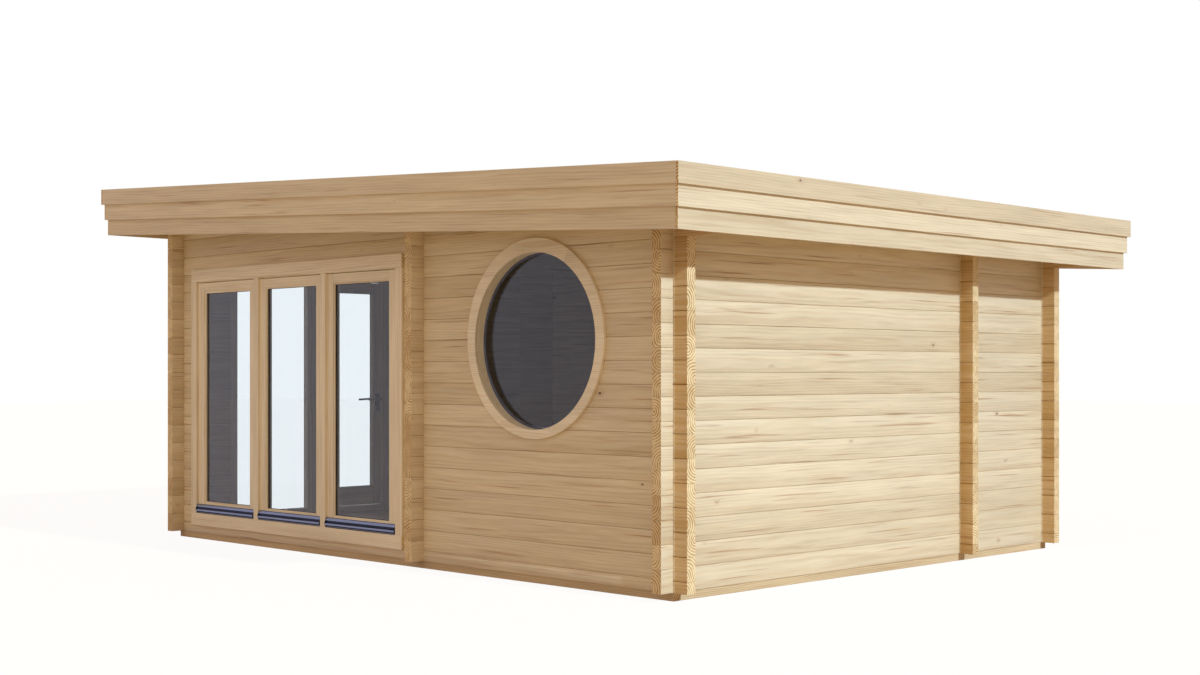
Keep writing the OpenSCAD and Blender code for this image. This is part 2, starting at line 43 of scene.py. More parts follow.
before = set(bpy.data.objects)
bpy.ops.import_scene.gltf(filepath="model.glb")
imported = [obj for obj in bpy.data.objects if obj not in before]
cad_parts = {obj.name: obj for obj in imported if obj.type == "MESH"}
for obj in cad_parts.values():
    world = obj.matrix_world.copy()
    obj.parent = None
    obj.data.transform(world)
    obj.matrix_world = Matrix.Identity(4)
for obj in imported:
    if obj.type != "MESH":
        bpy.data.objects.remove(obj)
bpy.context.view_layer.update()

X, Y, Z = 0, 1, 2
MM = 0.001
# Vertices closer than this are one, and faces that turn by less than this are one flat face
SAME_PLACE = 1e-6
SAME_FACE = math.radians(0.3)
# A pane is thinner than this across its own plane
THICKEST_PANE = 0.02
# A face that looks this much along the grain is a cross-cut end
ALONG_GRAIN = 0.8
# Top of the foundation beams, where the first side log starts
BASE_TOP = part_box("foundation_beams_across")[1].z


# --- Sizes and colours that a user would change ---------------------------------------------------

def linear(hex_colour):
    """An sRGB hex value as linear red, green, blue and alpha"""
    parts = [int(hex_colour[i:i + 2], 16) / 255 for i in (1, 3, 5)]
    return [c / 12.92 if c <= 0.04045 else ((c + 0.055) / 1.055) ** 2.4 for c in parts] + [1.0]


def length(name, description, default, low=0.0, high=1.0):
    return FloatProperty(name=name, description=description, default=default, min=low, max=high,
                         unit="LENGTH", subtype="DISTANCE", precision=4)


def colour(name, description, hex_colour):
    return FloatVectorProperty(name=name, description=description, default=linear(hex_colour),
                               size=4, min=0.0, max=1.0, subtype="COLOR")


class CabinSizes(bpy.types.PropertyGroup):
    course: length("Log course", "Height from one log joint to the next", 0.139, 0.1, 0.2)
    log_round: length("Log edge", "Rounding of a log's long edges at a joint", 0.0045, 0.001, 0.01)
    log_gap: length("Log gap", "Gap seen between two logs, which a tongue closes", 0.0011, 0.0002, 0.002)
    joint_gap: length("Joint gap", "Gap seen between two boards", 0.0012, 0.0, 0.004)
    arris: length("Arris", "Softening of the edges of planed boards", 0.0016, 0.0005, 0.005)
    floor_board: length("Floor board", "Width of a floor board", 0.096, 0.06, 0.2)
    soffit_board: length("Ceiling board", "Width of a ceiling board", 0.096, 0.06, 0.2)
    deck_board: length("Deck board", "Width of a board under the roof sheet", 0.12, 0.06, 0.2)
    roof_strip: length("Roof strip", "Width of a strip of the roof sheet", 1.04, 0.5, 2.0)
    lap: length("Sheet lap", "Lap of one strip of the roof sheet over the next", 0.09, 0.03, 0.2)
    bead: length("Glazing bead", "Width of the bead in front of a pane", 0.010, 0.005, 0.03)
    wide_bead: length("Wide bead", "Width of the bead in the left sash", 0.016, 0.005, 0.05)
    gasket: length("Gasket", "Width of the rubber line seen beside a bead", 0.003, 0.001, 0.01)
    end_cap: length("End cap", "Thickness of the cap on a weather bar's end", 0.004, 0.002, 0.01)
    screw_r: length("Screw head", "Radius of a screw head", 0.0035, 0.002, 0.008)


class CabinColours(bpy.types.PropertyGroup):
    spruce: colour("Spruce", "Early wood of the logs and boards", "#F0E1C0")
    spruce_late: colour("Late wood", "Darker rings of the logs and boards", "#CDA465")
    spruce_end: colour("End grain", "Sawn ends of logs and boards", "#FBE8BC")
    spruce_end_late: colour("End rings", "Rings on the sawn ends", "#C4934C")
    joinery: colour("Joinery", "Sanded pine of frames, sashes and trim", "#FFF4D8")
    joinery_late: colour("Joinery rings", "Darker rings of the sanded pine", "#E4C592")
    sawn: colour("Sawn timber", "Rafters, joists and foundation beams", "#E2CDA6")
    sawn_late: colour("Sawn rings", "Darker rings of the sawn timber", "#B98F58")
    floor: colour("Floor", "Planed floor boards", "#DDBE8C")
    floor_late: colour("Floor rings", "Darker rings of the floor boards", "#B88A4E")
    knot: colour("Knot", "Heart of a knot", "#3F2110")
    resin: colour("Resin streak", "Rust-brown streaks along the grain", "#A9692E")
    roof_sheet: colour("Roof sheet", "Rubber roofing", "#26272A")
    rubber: colour("Gasket rubber", "Gaskets and end caps", "#121214")
    edge_seal: colour("Edge seal", "Seal behind the round pane's edge", "#9A95A2")
    aluminium: colour("Aluminium", "Weather bars", "#ABA99C")
    zinc: colour("Zinc", "Hinges and screws", "#B4B7BC")
    dark_metal: colour("Handle", "Handle plates and levers", "#2B2D33")
    glass: colour("Glass", "Tint of the panes", "#D8E3F3")


def sizes():
    return bpy.context.scene.cabin_sizes


def colours():
    return bpy.context.scene.cabin_colours


# --- Materials ------------------------------------------------------------------------------------

def feed(tree, node, inputs):
    """Gives each input its value, or links it to the output socket given for it"""
    for key, value in inputs.items():
        if isinstance(value, bpy.types.NodeSocket):
            tree.links.new(value, node.inputs[key])
        else:
            node.inputs[key].default_value = value


def add(tree, kind, inputs=None, **settings):
    """Adds a node with its settings, values and links"""
    node = tree.nodes.new(kind)
    for name, value in settings.items():
        setattr(node, name, value)
    feed(tree, node, inputs or {})
    return node


def new_material(name):
    """A material with its tree and its main shader"""
    material = bpy.data.materials.new(name)
    material.use_nodes = True
    tree = material.node_tree
    return material, tree, tree.nodes["Principled BSDF"]


def drawn_noise(tree, place, per_metre, **inputs):
    """Noise that is drawn out: so many swells to the metre along each axis"""
    drawn = add(tree, "ShaderNodeVectorMath", {0: place, 1: per_metre}, operation="MULTIPLY")
    return add(tree, "ShaderNodeTexNoise", {"Vector": drawn.outputs[0], "Scale": 1.0, **inputs})


def knots_in(tree, place):
    """The share of knot at each place, and of the stained wood round it. Knots are rods across
    the board, one to a cell of about 290 by 150 mm, and most are too small to show."""
    cells = add(tree, "ShaderNodeVectorMath", {0: place, 1: (3.4, 6.5, 0.0)}, operation="MULTIPLY")
    found = add(tree, "ShaderNodeTexVoronoi", {"Vector": cells.outputs[0], "Scale": 1.0},
                voronoi_dimensions="2D")
    pick = add(tree, "ShaderNodeSeparateColor", {0: found.outputs["Color"]})
    size = add(tree, "ShaderNodeMapRange", {"Value": pick.outputs[0], "From Min": 0.82,
                                            "From Max": 1.0, "To Min": -0.17, "To Max": 0.045})
    edge = add(tree, "ShaderNodeMath", {0: size.outputs[0], 1: found.outputs["Distance"]},
               operation="SUBTRACT")
    knot = add(tree, "ShaderNodeMapRange", {"Value": edge.outputs[0], "From Min": 0.0, "From Max": 0.008},
               interpolation_type="SMOOTHSTEP")
    halo = add(tree, "ShaderNodeMapRange", {"Value": edge.outputs[0], "From Min": -0.14, "From Max": 0.03},
               interpolation_type="SMOOTHSTEP")
    return knot.outputs[0], halo.outputs[0]


def rings_in(tree, place, halo, ring, knots):
    """Rings of late wood round the pith, "ring" metres apart, which bend round the knots"""
    # The trunk wanders slowly along its length, which draws flames on a flat-sawn face
    wander = drawn_noise(tree, place, (0.7, 3.0, 3.0), Detail=3.0, Roughness=0.55)
    centred = add(tree, "ShaderNodeVectorMath", {0: wander.outputs["Color"], 1: (0.5, 0.5, 0.5)},
                  operation="SUBTRACT")
    shift = add(tree, "ShaderNodeVectorMath", {0: centred.outputs[0], 1: (0.0, 0.06, 0.06), 2: place},
                operation="MULTIPLY_ADD")
    across = add(tree, "ShaderNodeVectorMath", {0: shift.outputs[0], 1: (0.0, 1.0, 1.0)},
                 operation="MULTIPLY")
    radius = add(tree, "ShaderNodeVectorMath", {0: across.outputs[0]}, operation="LENGTH")
    bulge = add(tree, "ShaderNodeMath", {0: halo, 1: 0.02 * knots}, operation="MULTIPLY")
    bent = add(tree, "ShaderNodeMath", {0: radius.outputs["Value"], 1: bulge.outputs[0]}, operation="ADD")
    phase = add(tree, "ShaderNodeMath", {0: bent.outputs[0], 1: math.tau / ring}, operation="MULTIPLY")
    wave = add(tree, "ShaderNodeMath", {0: phase.outputs[0]}, operation="SINE")
    rings = add(tree, "ShaderNodeMapRange", {"Value": wave.outputs[0], "From Min": -0.6, "From Max": 1.0},
                interpolation_type="SMOOTHSTEP")
    return rings.outputs[0]


def late_share_in(tree, rings, patches, tone, contrast, golds, warm_shade_from_x):
    """How much of the late wood's colour shows: in the rings, all over the golden boards,
    and as painted warm shade on the logs beyond a given x, where their ends stand out from the right wall"""
    amount = add(tree, "ShaderNodeMath", {0: rings, 1: patches}, operation="MULTIPLY")
    ringed = add(tree, "ShaderNodeMath", {0: amount.outputs[0], 1: contrast * 1.6},
                 operation="MULTIPLY")
    golden = add(tree, "ShaderNodeMapRange", {"Value": tone, "From Min": 0.45, "To Max": golds})
    share = add(tree, "ShaderNodeMath", {0: ringed.outputs[0], 1: golden.outputs[0]}, operation="ADD")
    if warm_shade_from_x is not None:
        # Painted warm shade: beyond the given x the logs' colour goes towards the late wood, for the warm
        # bounced light in the shade round the log ends
        spot = add(tree, "ShaderNodeSeparateXYZ",
                   {0: add(tree, "ShaderNodeTexCoord").outputs["Object"]})
        painted_warm_shade = add(tree, "ShaderNodeMapRange", {"Value": spot.outputs[0], "From Min": warm_shade_from_x + 0.003,
                                                   "From Max": warm_shade_from_x + 0.012, "To Max": 0.75})
        share = add(tree, "ShaderNodeMath", {0: share.outputs[0], 1: painted_warm_shade.outputs[0]},
                    operation="ADD", use_clamp=True)
    return share.outputs[0]


def wood(name, pale, late, ring, contrast, roughness, knots=1.0, streaks=1.0, saw=0.0, golds=0.0,
         warm_shade_from_x=None):
    """Solid wood. The grain attribute is a place in the board's own tree trunk, along the
    grain first, so rings, fibres and end grain agree on every face. "ring" is the distance
    between two rings and "contrast" how strongly they show. "golds" is how far the most golden
    board goes towards the late wood's colour. Logs also go towards it beyond the x of the last
    argument: painted warm shade, for the bounced light round their ends that stand out from a wall."""
    tints = colours()
    material, tree, shader = new_material(name)
    place = add(tree, "ShaderNodeAttribute", attribute_name="grain").outputs["Vector"]
    tone = add(tree, "ShaderNodeAttribute", attribute_name="tone").outputs["Fac"]
    knot, halo = knots_in(tree, place)
    rings = rings_in(tree, place, halo, ring, knots)
    # Fibres about 200 mm long and 7 mm wide, and patches of tone 600 mm long and 45 mm wide
    fibres = drawn_noise(tree, place, (5.0, 150.0, 150.0), Detail=3.0, Roughness=0.6).outputs["Fac"]
    patches = drawn_noise(tree, place, (1.6, 22.0, 22.0), Detail=2.0).outputs["Fac"]
    late_share = late_share_in(tree, rings, patches, tone, contrast, golds, warm_shade_from_x)

    # Over the rings lie thin rust-brown streaks, a few on a board, then the knots in their stains
    lines = drawn_noise(tree, place, (1.3, 60.0, 60.0), Detail=2.0)
    streak = add(tree, "ShaderNodeMapRange", {"Value": lines.outputs["Fac"], "From Min": 0.60,
                                              "From Max": 0.78, "To Max": 0.62 * streaks},
                 interpolation_type="SMOOTHSTEP")
    stain = add(tree, "ShaderNodeMath", {0: halo, 1: 0.26 * knots}, operation="MULTIPLY")
    heart = add(tree, "ShaderNodeMath", {0: knot, 1: 0.95 * knots}, operation="MULTIPLY")
    face = add(tree, "ShaderNodeMix", {0: late_share, 6: pale, 7: late}, data_type="RGBA")
    for share, tint in ((streak, tints.resin), (stain, tints.resin), (heart, tints.knot)):
        face = add(tree, "ShaderNodeMix", {0: share.outputs[0], 6: face.outputs[2], 7: tint},
                   data_type="RGBA")

    # Fibres, patches and whole boards each make the colour a little lighter or darker
    shade = 1.0
    for value, low, high, at_low, at_high in (
            (fibres, 0.25, 0.75, 0.93, 1.05), (patches, 0.3, 0.7, 1.05, 0.93), (tone, 0.0, 1.0, 1.045, 0.95)):
        step = add(tree, "ShaderNodeMapRange", {"Value": value, "From Min": low, "From Max": high,
                                                "To Min": at_low, "To Max": at_high})
        shade = add(tree, "ShaderNodeMath", {0: step.outputs[0], 1: shade},
                    operation="MULTIPLY").outputs[0]
    toned = add(tree, "ShaderNodeVectorMath", {0: face.outputs[2], "Scale": shade}, operation="SCALE")

    gloss = add(tree, "ShaderNodeMapRange", {"Value": fibres, "To Min": roughness - 0.08,
                                             "To Max": roughness + 0.1})
    height = add(tree, "ShaderNodeMath", {0: rings, 1: fibres}, operation="ADD")
    if saw:
        # Marks of the saw about 4 mm apart
        marks = drawn_noise(tree, place, (260.0, 12.0, 12.0), Detail=2.0)
        height = add(tree, "ShaderNodeMath", {0: marks.outputs["Fac"], 1: saw, 2: height.outputs[0]},
                     operation="MULTIPLY_ADD")
    bump = add(tree, "ShaderNodeBump", {"Height": height.outputs[0], "Strength": 0.35,
                                        "Distance": 0.0006})
    feed(tree, shader, {"Base Color": toned.outputs[0], "Roughness": gloss.outputs[0],
                        "Normal": bump.outputs[0], "Specular IOR Level": 0.35})
    return material


def spruce():
    # Planed Nordic spruce: pale, nearly matt, slow rings drawn 16 mm apart so that they show
    tints = colours()
    return wood("planed_spruce", tints.spruce, tints.spruce_late, 0.016, 0.22, 0.56, streaks=0.8,
                golds=0.16)


def log_spruce():
    # The logs: like the boards, but with painted warm shade where they stand out beyond the right wall. There
    # their colour goes towards the late wood, for the bounced light round their ends.
    tints = colours()
    return wood("planed_spruce_log", tints.spruce, tints.spruce_late, 0.016, 0.22, 0.56, streaks=1.1,
                golds=0.16, warm_shade_from_x=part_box("right_wall")[1].x)


def spruce_end():
    # Cross-cut spruce: rings as arcs, more yellow and a little rough
    tints = colours()
    return wood("cross_cut_spruce", tints.spruce_end, tints.spruce_end_late, 0.017, 0.95, 0.68,
                knots=0.0, streaks=0.0, golds=0.25)


def pine_joinery():
    # Sanded, knot-free pine of windows and trim: smooth and even
    tints = colours()
    return wood("sanded_pine", tints.joinery, tints.joinery_late, 0.012, 0.40, 0.48, knots=0.0,
                streaks=0.2)


def sawn_timber():
    # Sawn softwood: darker, with the marks of the saw across the grain
    tints = colours()
    return wood("sawn_softwood", tints.sawn, tints.sawn_late, 0.009, 0.5, 0.75, saw=1.4)


def floor_pine():
    # Planed pine floor boards, a tone darker than the walls
    tints = colours()
    return wood("planed_floor_pine", tints.floor, tints.floor_late, 0.010, 0.55, 0.45)


def speckled(name, base, metallic, roughness, scale, depth, spread=0.10, tone=0.06):
    """A plain surface with a fine grain in its colour, its gloss and its relief"""
    material, tree, shader = new_material(name)
    place = add(tree, "ShaderNodeTexCoord").outputs["Object"]
    grain = add(tree, "ShaderNodeTexNoise", {"Vector": place, "Scale": scale, "Detail": 4.0})
    large = add(tree, "ShaderNodeTexNoise", {"Vector": place, "Scale": 3.0, "Detail": 3.0})
    both = add(tree, "ShaderNodeMath", {0: grain.outputs["Fac"], 1: large.outputs["Fac"]},
               operation="ADD")
    shade = add(tree, "ShaderNodeMapRange", {"Value": both.outputs[0], "From Min": 0.6, "From Max": 1.4,
                                             "To Min": 1.0 - tone, "To Max": 1.0 + tone})
    toned = add(tree, "ShaderNodeVectorMath", {0: base[:3], "Scale": shade.outputs[0]},
                operation="SCALE")
    gloss = add(tree, "ShaderNodeMapRange", {"Value": grain.outputs["Fac"], "To Min": roughness - spread,
                                             "To Max": roughness + spread})
    bump = add(tree, "ShaderNodeBump", {"Height": grain.outputs["Fac"], "Strength": 0.4,
                                        "Distance": depth})
    feed(tree, shader, {"Base Color": toned.outputs[0], "Roughness": gloss.outputs[0],
                        "Normal": bump.outputs[0], "Metallic": metallic})
    return material


def roof_rubber():
    # EPDM roofing sheet: matt black with a dusty bloom
    return speckled("epdm_roof_sheet", colours().roof_sheet, 0.0, 0.78, 240.0, 0.0005, tone=0.22)


def gasket_rubber():
    # EPDM gasket and moulded end caps: black, slightly sheeny
    return speckled("epdm_gasket", colours().rubber, 0.0, 0.5, 600.0, 0.0001)


def pane_seal():
    # Grey seal that shows as a line round the edge of the round pane
    return speckled("edge_seal", colours().edge_seal, 0.0, 0.6, 600.0, 0.0001)


def zinc_steel():
    # Zinc-plated steel: soft grey metal with a mottled shine
    return speckled("zinc_plated_steel", colours().zinc, 1.0, 0.36, 160.0, 0.0001, tone=0.1)


def handle_metal():
    # Dark powder-coated zinc alloy: satin with a very fine orange peel
    return speckled("powder_coated_alloy", colours().dark_metal, 0.0, 0.38, 700.0, 0.00008)


def mill_aluminium():
    """Extruded aluminium, left as it leaves the die: fine lines along the bar"""
    material, tree, shader = new_material("extruded_aluminium")
    place = add(tree, "ShaderNodeTexCoord").outputs["Object"]
    # Die lines are finer than a tenth of a millimetre. They are drawn 2 mm apart, to show.
    lines = drawn_noise(tree, place, (2.0, 2.0, 500.0), Detail=2.0).outputs["Fac"]
    shade = add(tree, "ShaderNodeMapRange", {"Value": lines, "To Min": 0.9, "To Max": 1.08})
    toned = add(tree, "ShaderNodeVectorMath", {0: colours().aluminium[:3], "Scale": shade.outputs[0]},
                operation="SCALE")
    gloss = add(tree, "ShaderNodeMapRange", {"Value": lines, "To Min": 0.24, "To Max": 0.4})
    bump = add(tree, "ShaderNodeBump", {"Height": lines, "Strength": 0.2, "Distance": 0.0002})
    feed(tree, shader, {"Base Color": toned.outputs[0], "Roughness": gloss.outputs[0],
                        "Normal": bump.outputs[0], "Metallic": 1.0})
    return material


def float_glass():
    """Float glass: clear with a trace of blue, its faces not quite flat. Its IOR is under the
    usual 1.5, because these panes mirror little."""
    material, tree, shader = new_material("float_glass")
    place = add(tree, "ShaderNodeTexCoord").outputs["Object"]
    swell = add(tree, "ShaderNodeTexNoise", {"Vector": place, "Scale": 1.6, "Detail": 1.0})
    bump = add(tree, "ShaderNodeBump", {"Height": swell.outputs["Fac"], "Strength": 0.15,
                                        "Distance": 0.002})
    feed(tree, shader, {"Base Color": colours().glass, "Roughness": 0.0, "IOR": 1.34,
                        "Transmission Weight": 1.0, "Normal": bump.outputs[0]})
    return material


MAKERS = {
    "spruce": spruce, "log_spruce": log_spruce, "spruce_end": spruce_end, "joinery": pine_joinery,
    "sawn": sawn_timber, "floor": floor_pine, "roof_sheet": roof_rubber, "gasket": gasket_rubber,
    "pane_seal": pane_seal, "zinc": zinc_steel, "handle": handle_metal, "aluminium": mill_aluminium,
    "glass": float_glass,
}
# Finishes of a piece: its sides, and its cross-cut ends
LOG_FINISH = ("log_spruce", "spruce_end")
BOARD_FINISH = ("spruce", "spruce_end")
SAWN_FINISH = ("sawn", "spruce_end")
JOINERY_FINISH = ("joinery", "spruce_end")
made = {}


def finish(key):
    """The material of one finish, made the first time that it is asked for"""
    if key not in made:
        made[key] = MAKERS[key]()
    return made[key]


# --- Meshes ---------------------------------------------------------------------------------------

def new_object(name, mesh):
    obj = bpy.data.objects.new(name, mesh)
    bpy.context.scene.collection.objects.link(obj)
    return obj


def evaluated_mesh(obj):
    """The object's mesh with its modifiers applied; the object itself is removed"""
    graph = bpy.context.evaluated_depsgraph_get()
    mesh = bpy.data.meshes.new_from_object(obj.evaluated_get(graph))
    bpy.data.objects.remove(obj)
    return mesh


def merged(mesh):
    """A mesh to edit, with the vertices that share a place made one"""
    bm = bmesh.new()
    bm.from_mesh(mesh)
    bmesh.ops.remove_doubles(bm, verts=bm.verts, dist=SAME_PLACE)
    return bm


def flatten(bm):
    """Joins the triangles of each flat face"""
    bmesh.ops.dissolve_limit(bm, angle_limit=SAME_FACE, verts=bm.verts, edges=bm.edges)


def node_solids(node):
    """The solids of a CAD node, as a merged copy with whole flat faces"""
    bm = merged(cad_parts[node].data)
    flatten(bm)
    return bm


def vertices_of(mesh):
    """The places of a mesh's vertices, one row each"""
    points = np.empty(len(mesh.vertices) * 3)
    mesh.vertices.foreach_get("co", points)
    return points.reshape(-1, 3)


def soften(bm, width, segments=2, least=35.0):
    """Rounds every edge that is sharper than "least" degrees"""
    sharp = [e for e in bm.edges if e.is_manifold and e.calc_face_angle() > math.radians(least)]
    bmesh.ops.bevel(bm, geom=sharp, offset=width, segments=segments, profile=0.5, affect="EDGES",
                    clamp_overlap=True)


def mesh_from(bm, name):
    bmesh.ops.recalc_face_normals(bm, faces=bm.faces)
    mesh = bpy.data.meshes.new(name)
    bm.to_mesh(mesh)
    bm.free()
    return mesh


def joined(meshes, name):
    bm = bmesh.new()
    for mesh in meshes:
        bm.from_mesh(mesh)
        bpy.data.meshes.remove(mesh)
    mesh = bpy.data.meshes.new(name)
    bm.to_mesh(mesh)
    bm.free()
    return mesh


def boxes(spans, width, segments=2):
    """Blocks between pairs of corners, with softened edges, as one mesh"""
    bm = bmesh.new()
    for low, high in spans:
        low, high = Vector(low), Vector(high)
        made_verts = bmesh.ops.create_cube(bm, size=1.0)["verts"]
        for v in made_verts:
            v.co = (low + high) / 2 + Vector([v.co[i] * (high - low)[i] for i in range(3)])
    soften(bm, width, segments)
    return mesh_from(bm, "boxes")


def boolean(mesh, other, operation):
    """Two meshes as one solid, by union or by intersection"""
    first, second = new_object("first", mesh), new_object("second", other)
    cut = first.modifiers.new("cut", "BOOLEAN")
    cut.operation, cut.object, cut.solver = operation, second, "EXACT"
    result = evaluated_mesh(first)
    bpy.data.objects.remove(second)
    return result


def islands(mesh):
    """For each vertex, the number of the separate board that it belongs to"""
    edges = np.empty(len(mesh.edges) * 2, int)
    mesh.edges.foreach_get("vertices", edges)
    edges = edges.reshape(-1, 2)
    label = np.arange(len(mesh.vertices))
    while True:
        lower = np.minimum(label[edges[:, 0]], label[edges[:, 1]])
        after = label.copy()
        np.minimum.at(after, edges[:, 0], lower)
        np.minimum.at(after, edges[:, 1], lower)
        after = after[after]
        if (after == label).all():
            return np.unique(label, return_inverse=True)[1], edges
        label = after


def set_grain(mesh, seed, along=None, direction=None):
    """Gives each separate board its place in a trunk, its tone and its cross-cut ends.
    Boards run along the axis "along", or else along their own longest edge."""
    label, edges = islands(mesh)
    points = vertices_of(mesh)
    random = np.random.default_rng(seed)
    grain, tone = np.zeros((len(points), 3)), np.zeros(len(points))
    lines = np.zeros((label.max() + 1, 3))
    edge_line = points[edges[:, 1]] - points[edges[:, 0]]
    edge_length = np.linalg.norm(edge_line, axis=1)
    for board in range(label.max() + 1):
        own = label == board
        here = points[own]
        if direction is not None:
            line = np.array(direction(here.mean(0)))
        elif along is not None:
            line = np.eye(3)[along]
        else:
            own_edges = np.flatnonzero(own[edges[:, 0]])
            longest = own_edges[np.argmax(edge_length[own_edges])]
            line = edge_line[longest] / edge_length[longest]
        main = int(np.argmax(np.abs(line)))
        flat = here - np.outer(here @ line, line)
        spans = [(np.ptp(flat[:, i]), i) for i in range(3) if i != main]
        wide, thin = [i for _, i in sorted(spans, reverse=True)]
        middle = (flat.max(0) + flat.min(0)) / 2
        # The pith lies up to 65 mm to either side of the board's middle, and 20 to 80 mm before
        # or behind it. Each board is cut from another stretch of the trunk.
        pith = random.uniform(-1, 1, 2) * (0.065, 0.03) + (0.0, 0.05) * random.choice((-1, 1), 2)
        grain[own] = np.column_stack([
            here @ line + random.uniform(0, 60), flat[:, wide] - middle[wide] + pith[0],
            flat[:, thin] - middle[thin] + pith[1],
        ])
        tone[own] = random.uniform(0, 1)
        lines[board] = line
    mesh.attributes.new("grain", "FLOAT_VECTOR", "POINT").data.foreach_set("vector", grain.ravel())
    mesh.attributes.new("tone", "FLOAT", "POINT").data.foreach_set("value", tone)
    for face in mesh.polygons:
        line = lines[label[face.vertices[0]]]
        face.material_index = int(abs(float(np.dot(face.normal, line))) > ALONG_GRAIN)


def piece(name, mesh, finishes, body="cabin", nodes=()):
    """Makes a finished piece: it rides on a body and stands for some CAD nodes"""
    mesh.name = name
    # Clearing the materials would set every face back to the first one
    indices = np.zeros(len(mesh.polygons), np.int32)
    mesh.polygons.foreach_get("material_index", indices)
    mesh.materials.clear()
    for key in finishes:
        mesh.materials.append(finish(key))
    mesh.polygons.foreach_set("material_index", np.minimum(indices, len(finishes) - 1))
    obj = new_object(name, mesh)
    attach(obj, body)
    if nodes:
        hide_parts(*nodes)
    return obj


def board_row_tree():
    """Boards side by side: each stands along Z, and the row runs along Y"""
    tree = bpy.data.node_groups.new("board_row", "GeometryNodeTree")
    tree.interface.new_socket("Geometry", in_out="OUTPUT", socket_type="NodeSocketGeometry")
    for name, kind in (("Length", "Float"), ("Thickness", "Float"), ("Pitch", "Float"), ("Gap", "Float"),
                       ("Rounding", "Float"), ("Unevenness", "Float"), ("Count", "Int"),
                       ("Seed", "Int"), ("Finish", "Material")):
        tree.interface.new_socket(name, in_out="INPUT", socket_type="NodeSocket" + kind)
    given = add(tree, "NodeGroupInput").outputs
    width = add(tree, "ShaderNodeMath", {0: given["Pitch"], 1: given["Gap"]}, operation="SUBTRACT")
    section = add(tree, "GeometryNodeCurvePrimitiveQuadrilateral",
                  {"Width": given["Thickness"], "Height": width.outputs[0]})
    rounded = add(tree, "GeometryNodeFilletCurve",
                  {"Curve": section.outputs[0], "Count": 2, "Radius": given["Rounding"]}, mode="POLY")
    end = add(tree, "ShaderNodeCombineXYZ", {"Z": given["Length"]})
    line = add(tree, "GeometryNodeCurvePrimitiveLine", {"End": end.outputs[0]})
    board = add(tree, "GeometryNodeCurveToMesh",
                {"Curve": line.outputs[0], "Profile Curve": rounded.outputs[0], "Fill Caps": True})
    step = add(tree, "ShaderNodeCombineXYZ", {"Y": given["Pitch"]})
    points = add(tree, "GeometryNodeMeshLine", {"Count": given["Count"], "Offset": step.outputs[0]})
    row = add(tree, "GeometryNodeInstanceOnPoints", {"Points": points.outputs[0],
                                                     "Instance": board.outputs[0]})
    jitter = add(tree, "FunctionNodeRandomValue", {2: -1.0, 3: 1.0, "Seed": given["Seed"]})
    nudge = add(tree, "ShaderNodeMath", {0: jitter.outputs[1], 1: given["Unevenness"]},
                operation="MULTIPLY")
    offset = add(tree, "ShaderNodeCombineXYZ", {"X": nudge.outputs[0]})
    moved = add(tree, "GeometryNodeTranslateInstances", {"Instances": row.outputs[0],
                                                         "Translation": offset.outputs[0]})
    real = add(tree, "GeometryNodeRealizeInstances", {0: moved.outputs[0]})
    finished = add(tree, "GeometryNodeSetMaterial", {"Geometry": real.outputs[0],
                                                     "Material": given["Finish"]})
    add(tree, "NodeGroupOutput", {0: finished.outputs[0]})
    return tree


def board_row(low, high, along, across, pitch, gap, rounding, unevenness=0.0, material="spruce"):
    """Boards from low to high: they run along one axis and are repeated along another"""
    tree = bpy.data.node_groups.get("board_row") or board_row_tree()
    base = new_object("row", bpy.data.meshes.new("row"))
    row = base.modifiers.new("row", "NODES")
    row.node_group = tree
    thin = 3 - along - across
    count = max(1, round((high[across] - low[across]) / pitch))
    values = {
        "Length": high[along] - low[along], "Thickness": high[thin] - low[thin] - 2 * unevenness,
        "Pitch": pitch, "Gap": gap, "Rounding": rounding, "Unevenness": unevenness, "Count": count,
        "Seed": 7, "Finish": finish(material),
    }
    for item in tree.interface.items_tree:
        if item.in_out == "INPUT":
            row[item.identifier] = values[item.name]
    mesh = evaluated_mesh(base)
    points = vertices_of(mesh)
    placed = np.empty_like(points)
    placed[:, thin] = points[:, X] + (low[thin] + high[thin]) / 2
    placed[:, across] = points[:, Y] + low[across] + pitch / 2
    placed[:, along] = points[:, Z] + low[along]
    mesh.vertices.foreach_set("co", placed.ravel())
    # Any other order of the axes mirrors the row, which turns its faces inwards
    if (thin, across, along) not in ((X, Y, Z), (Y, Z, X), (Z, X, Y)):
        mesh.flip_normals()
    mesh.update()
    return mesh


def planed(name, nodes, finishes, body="cabin", seed=1, arris=None):
    """CAD solids as planed boards: the same shapes with softened edges and a grain"""
    meshes = []
    for node in nodes:
        bm = node_solids(node)
        soften(bm, arris or sizes().arris)
        meshes.append(mesh_from(bm, node))
    mesh = joined(meshes, name)
    set_grain(mesh, seed)
    return piece(name, mesh, finishes, body, nodes)


def slope_under(node):
    """Height at x = 0 and rise along x of the underside of a sloping CAD slab"""
    points = vertices_of(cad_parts[node].data)
    x0, x1 = points[:, X].min(), points[:, X].max()
    z0, z1 = (points[np.abs(points[:, X] - x) < 1e-5][:, Z].min() for x in (x0, x1))
    rise = (z1 - z0) / (x1 - x0)
    return z0 - rise * x0, rise


def levelled(node):
    """Corners of a sloping CAD slab as if it lay level at height 0, then its slope"""
    low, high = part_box(node)
    base, rise = slope_under(node)
    low.z, high.z = 0.0, high.z - low.z + rise * (high.x - low.x)
    return low, high, base, rise


def sheared(mesh, rise, base):
    """Lets a level mesh follow the fall of the roof"""
    for v in mesh.vertices:
        v.co.z += base + rise * v.co.x
    mesh.update()
    return mesh


# --- Log walls ------------------------------------------------------------------------------------

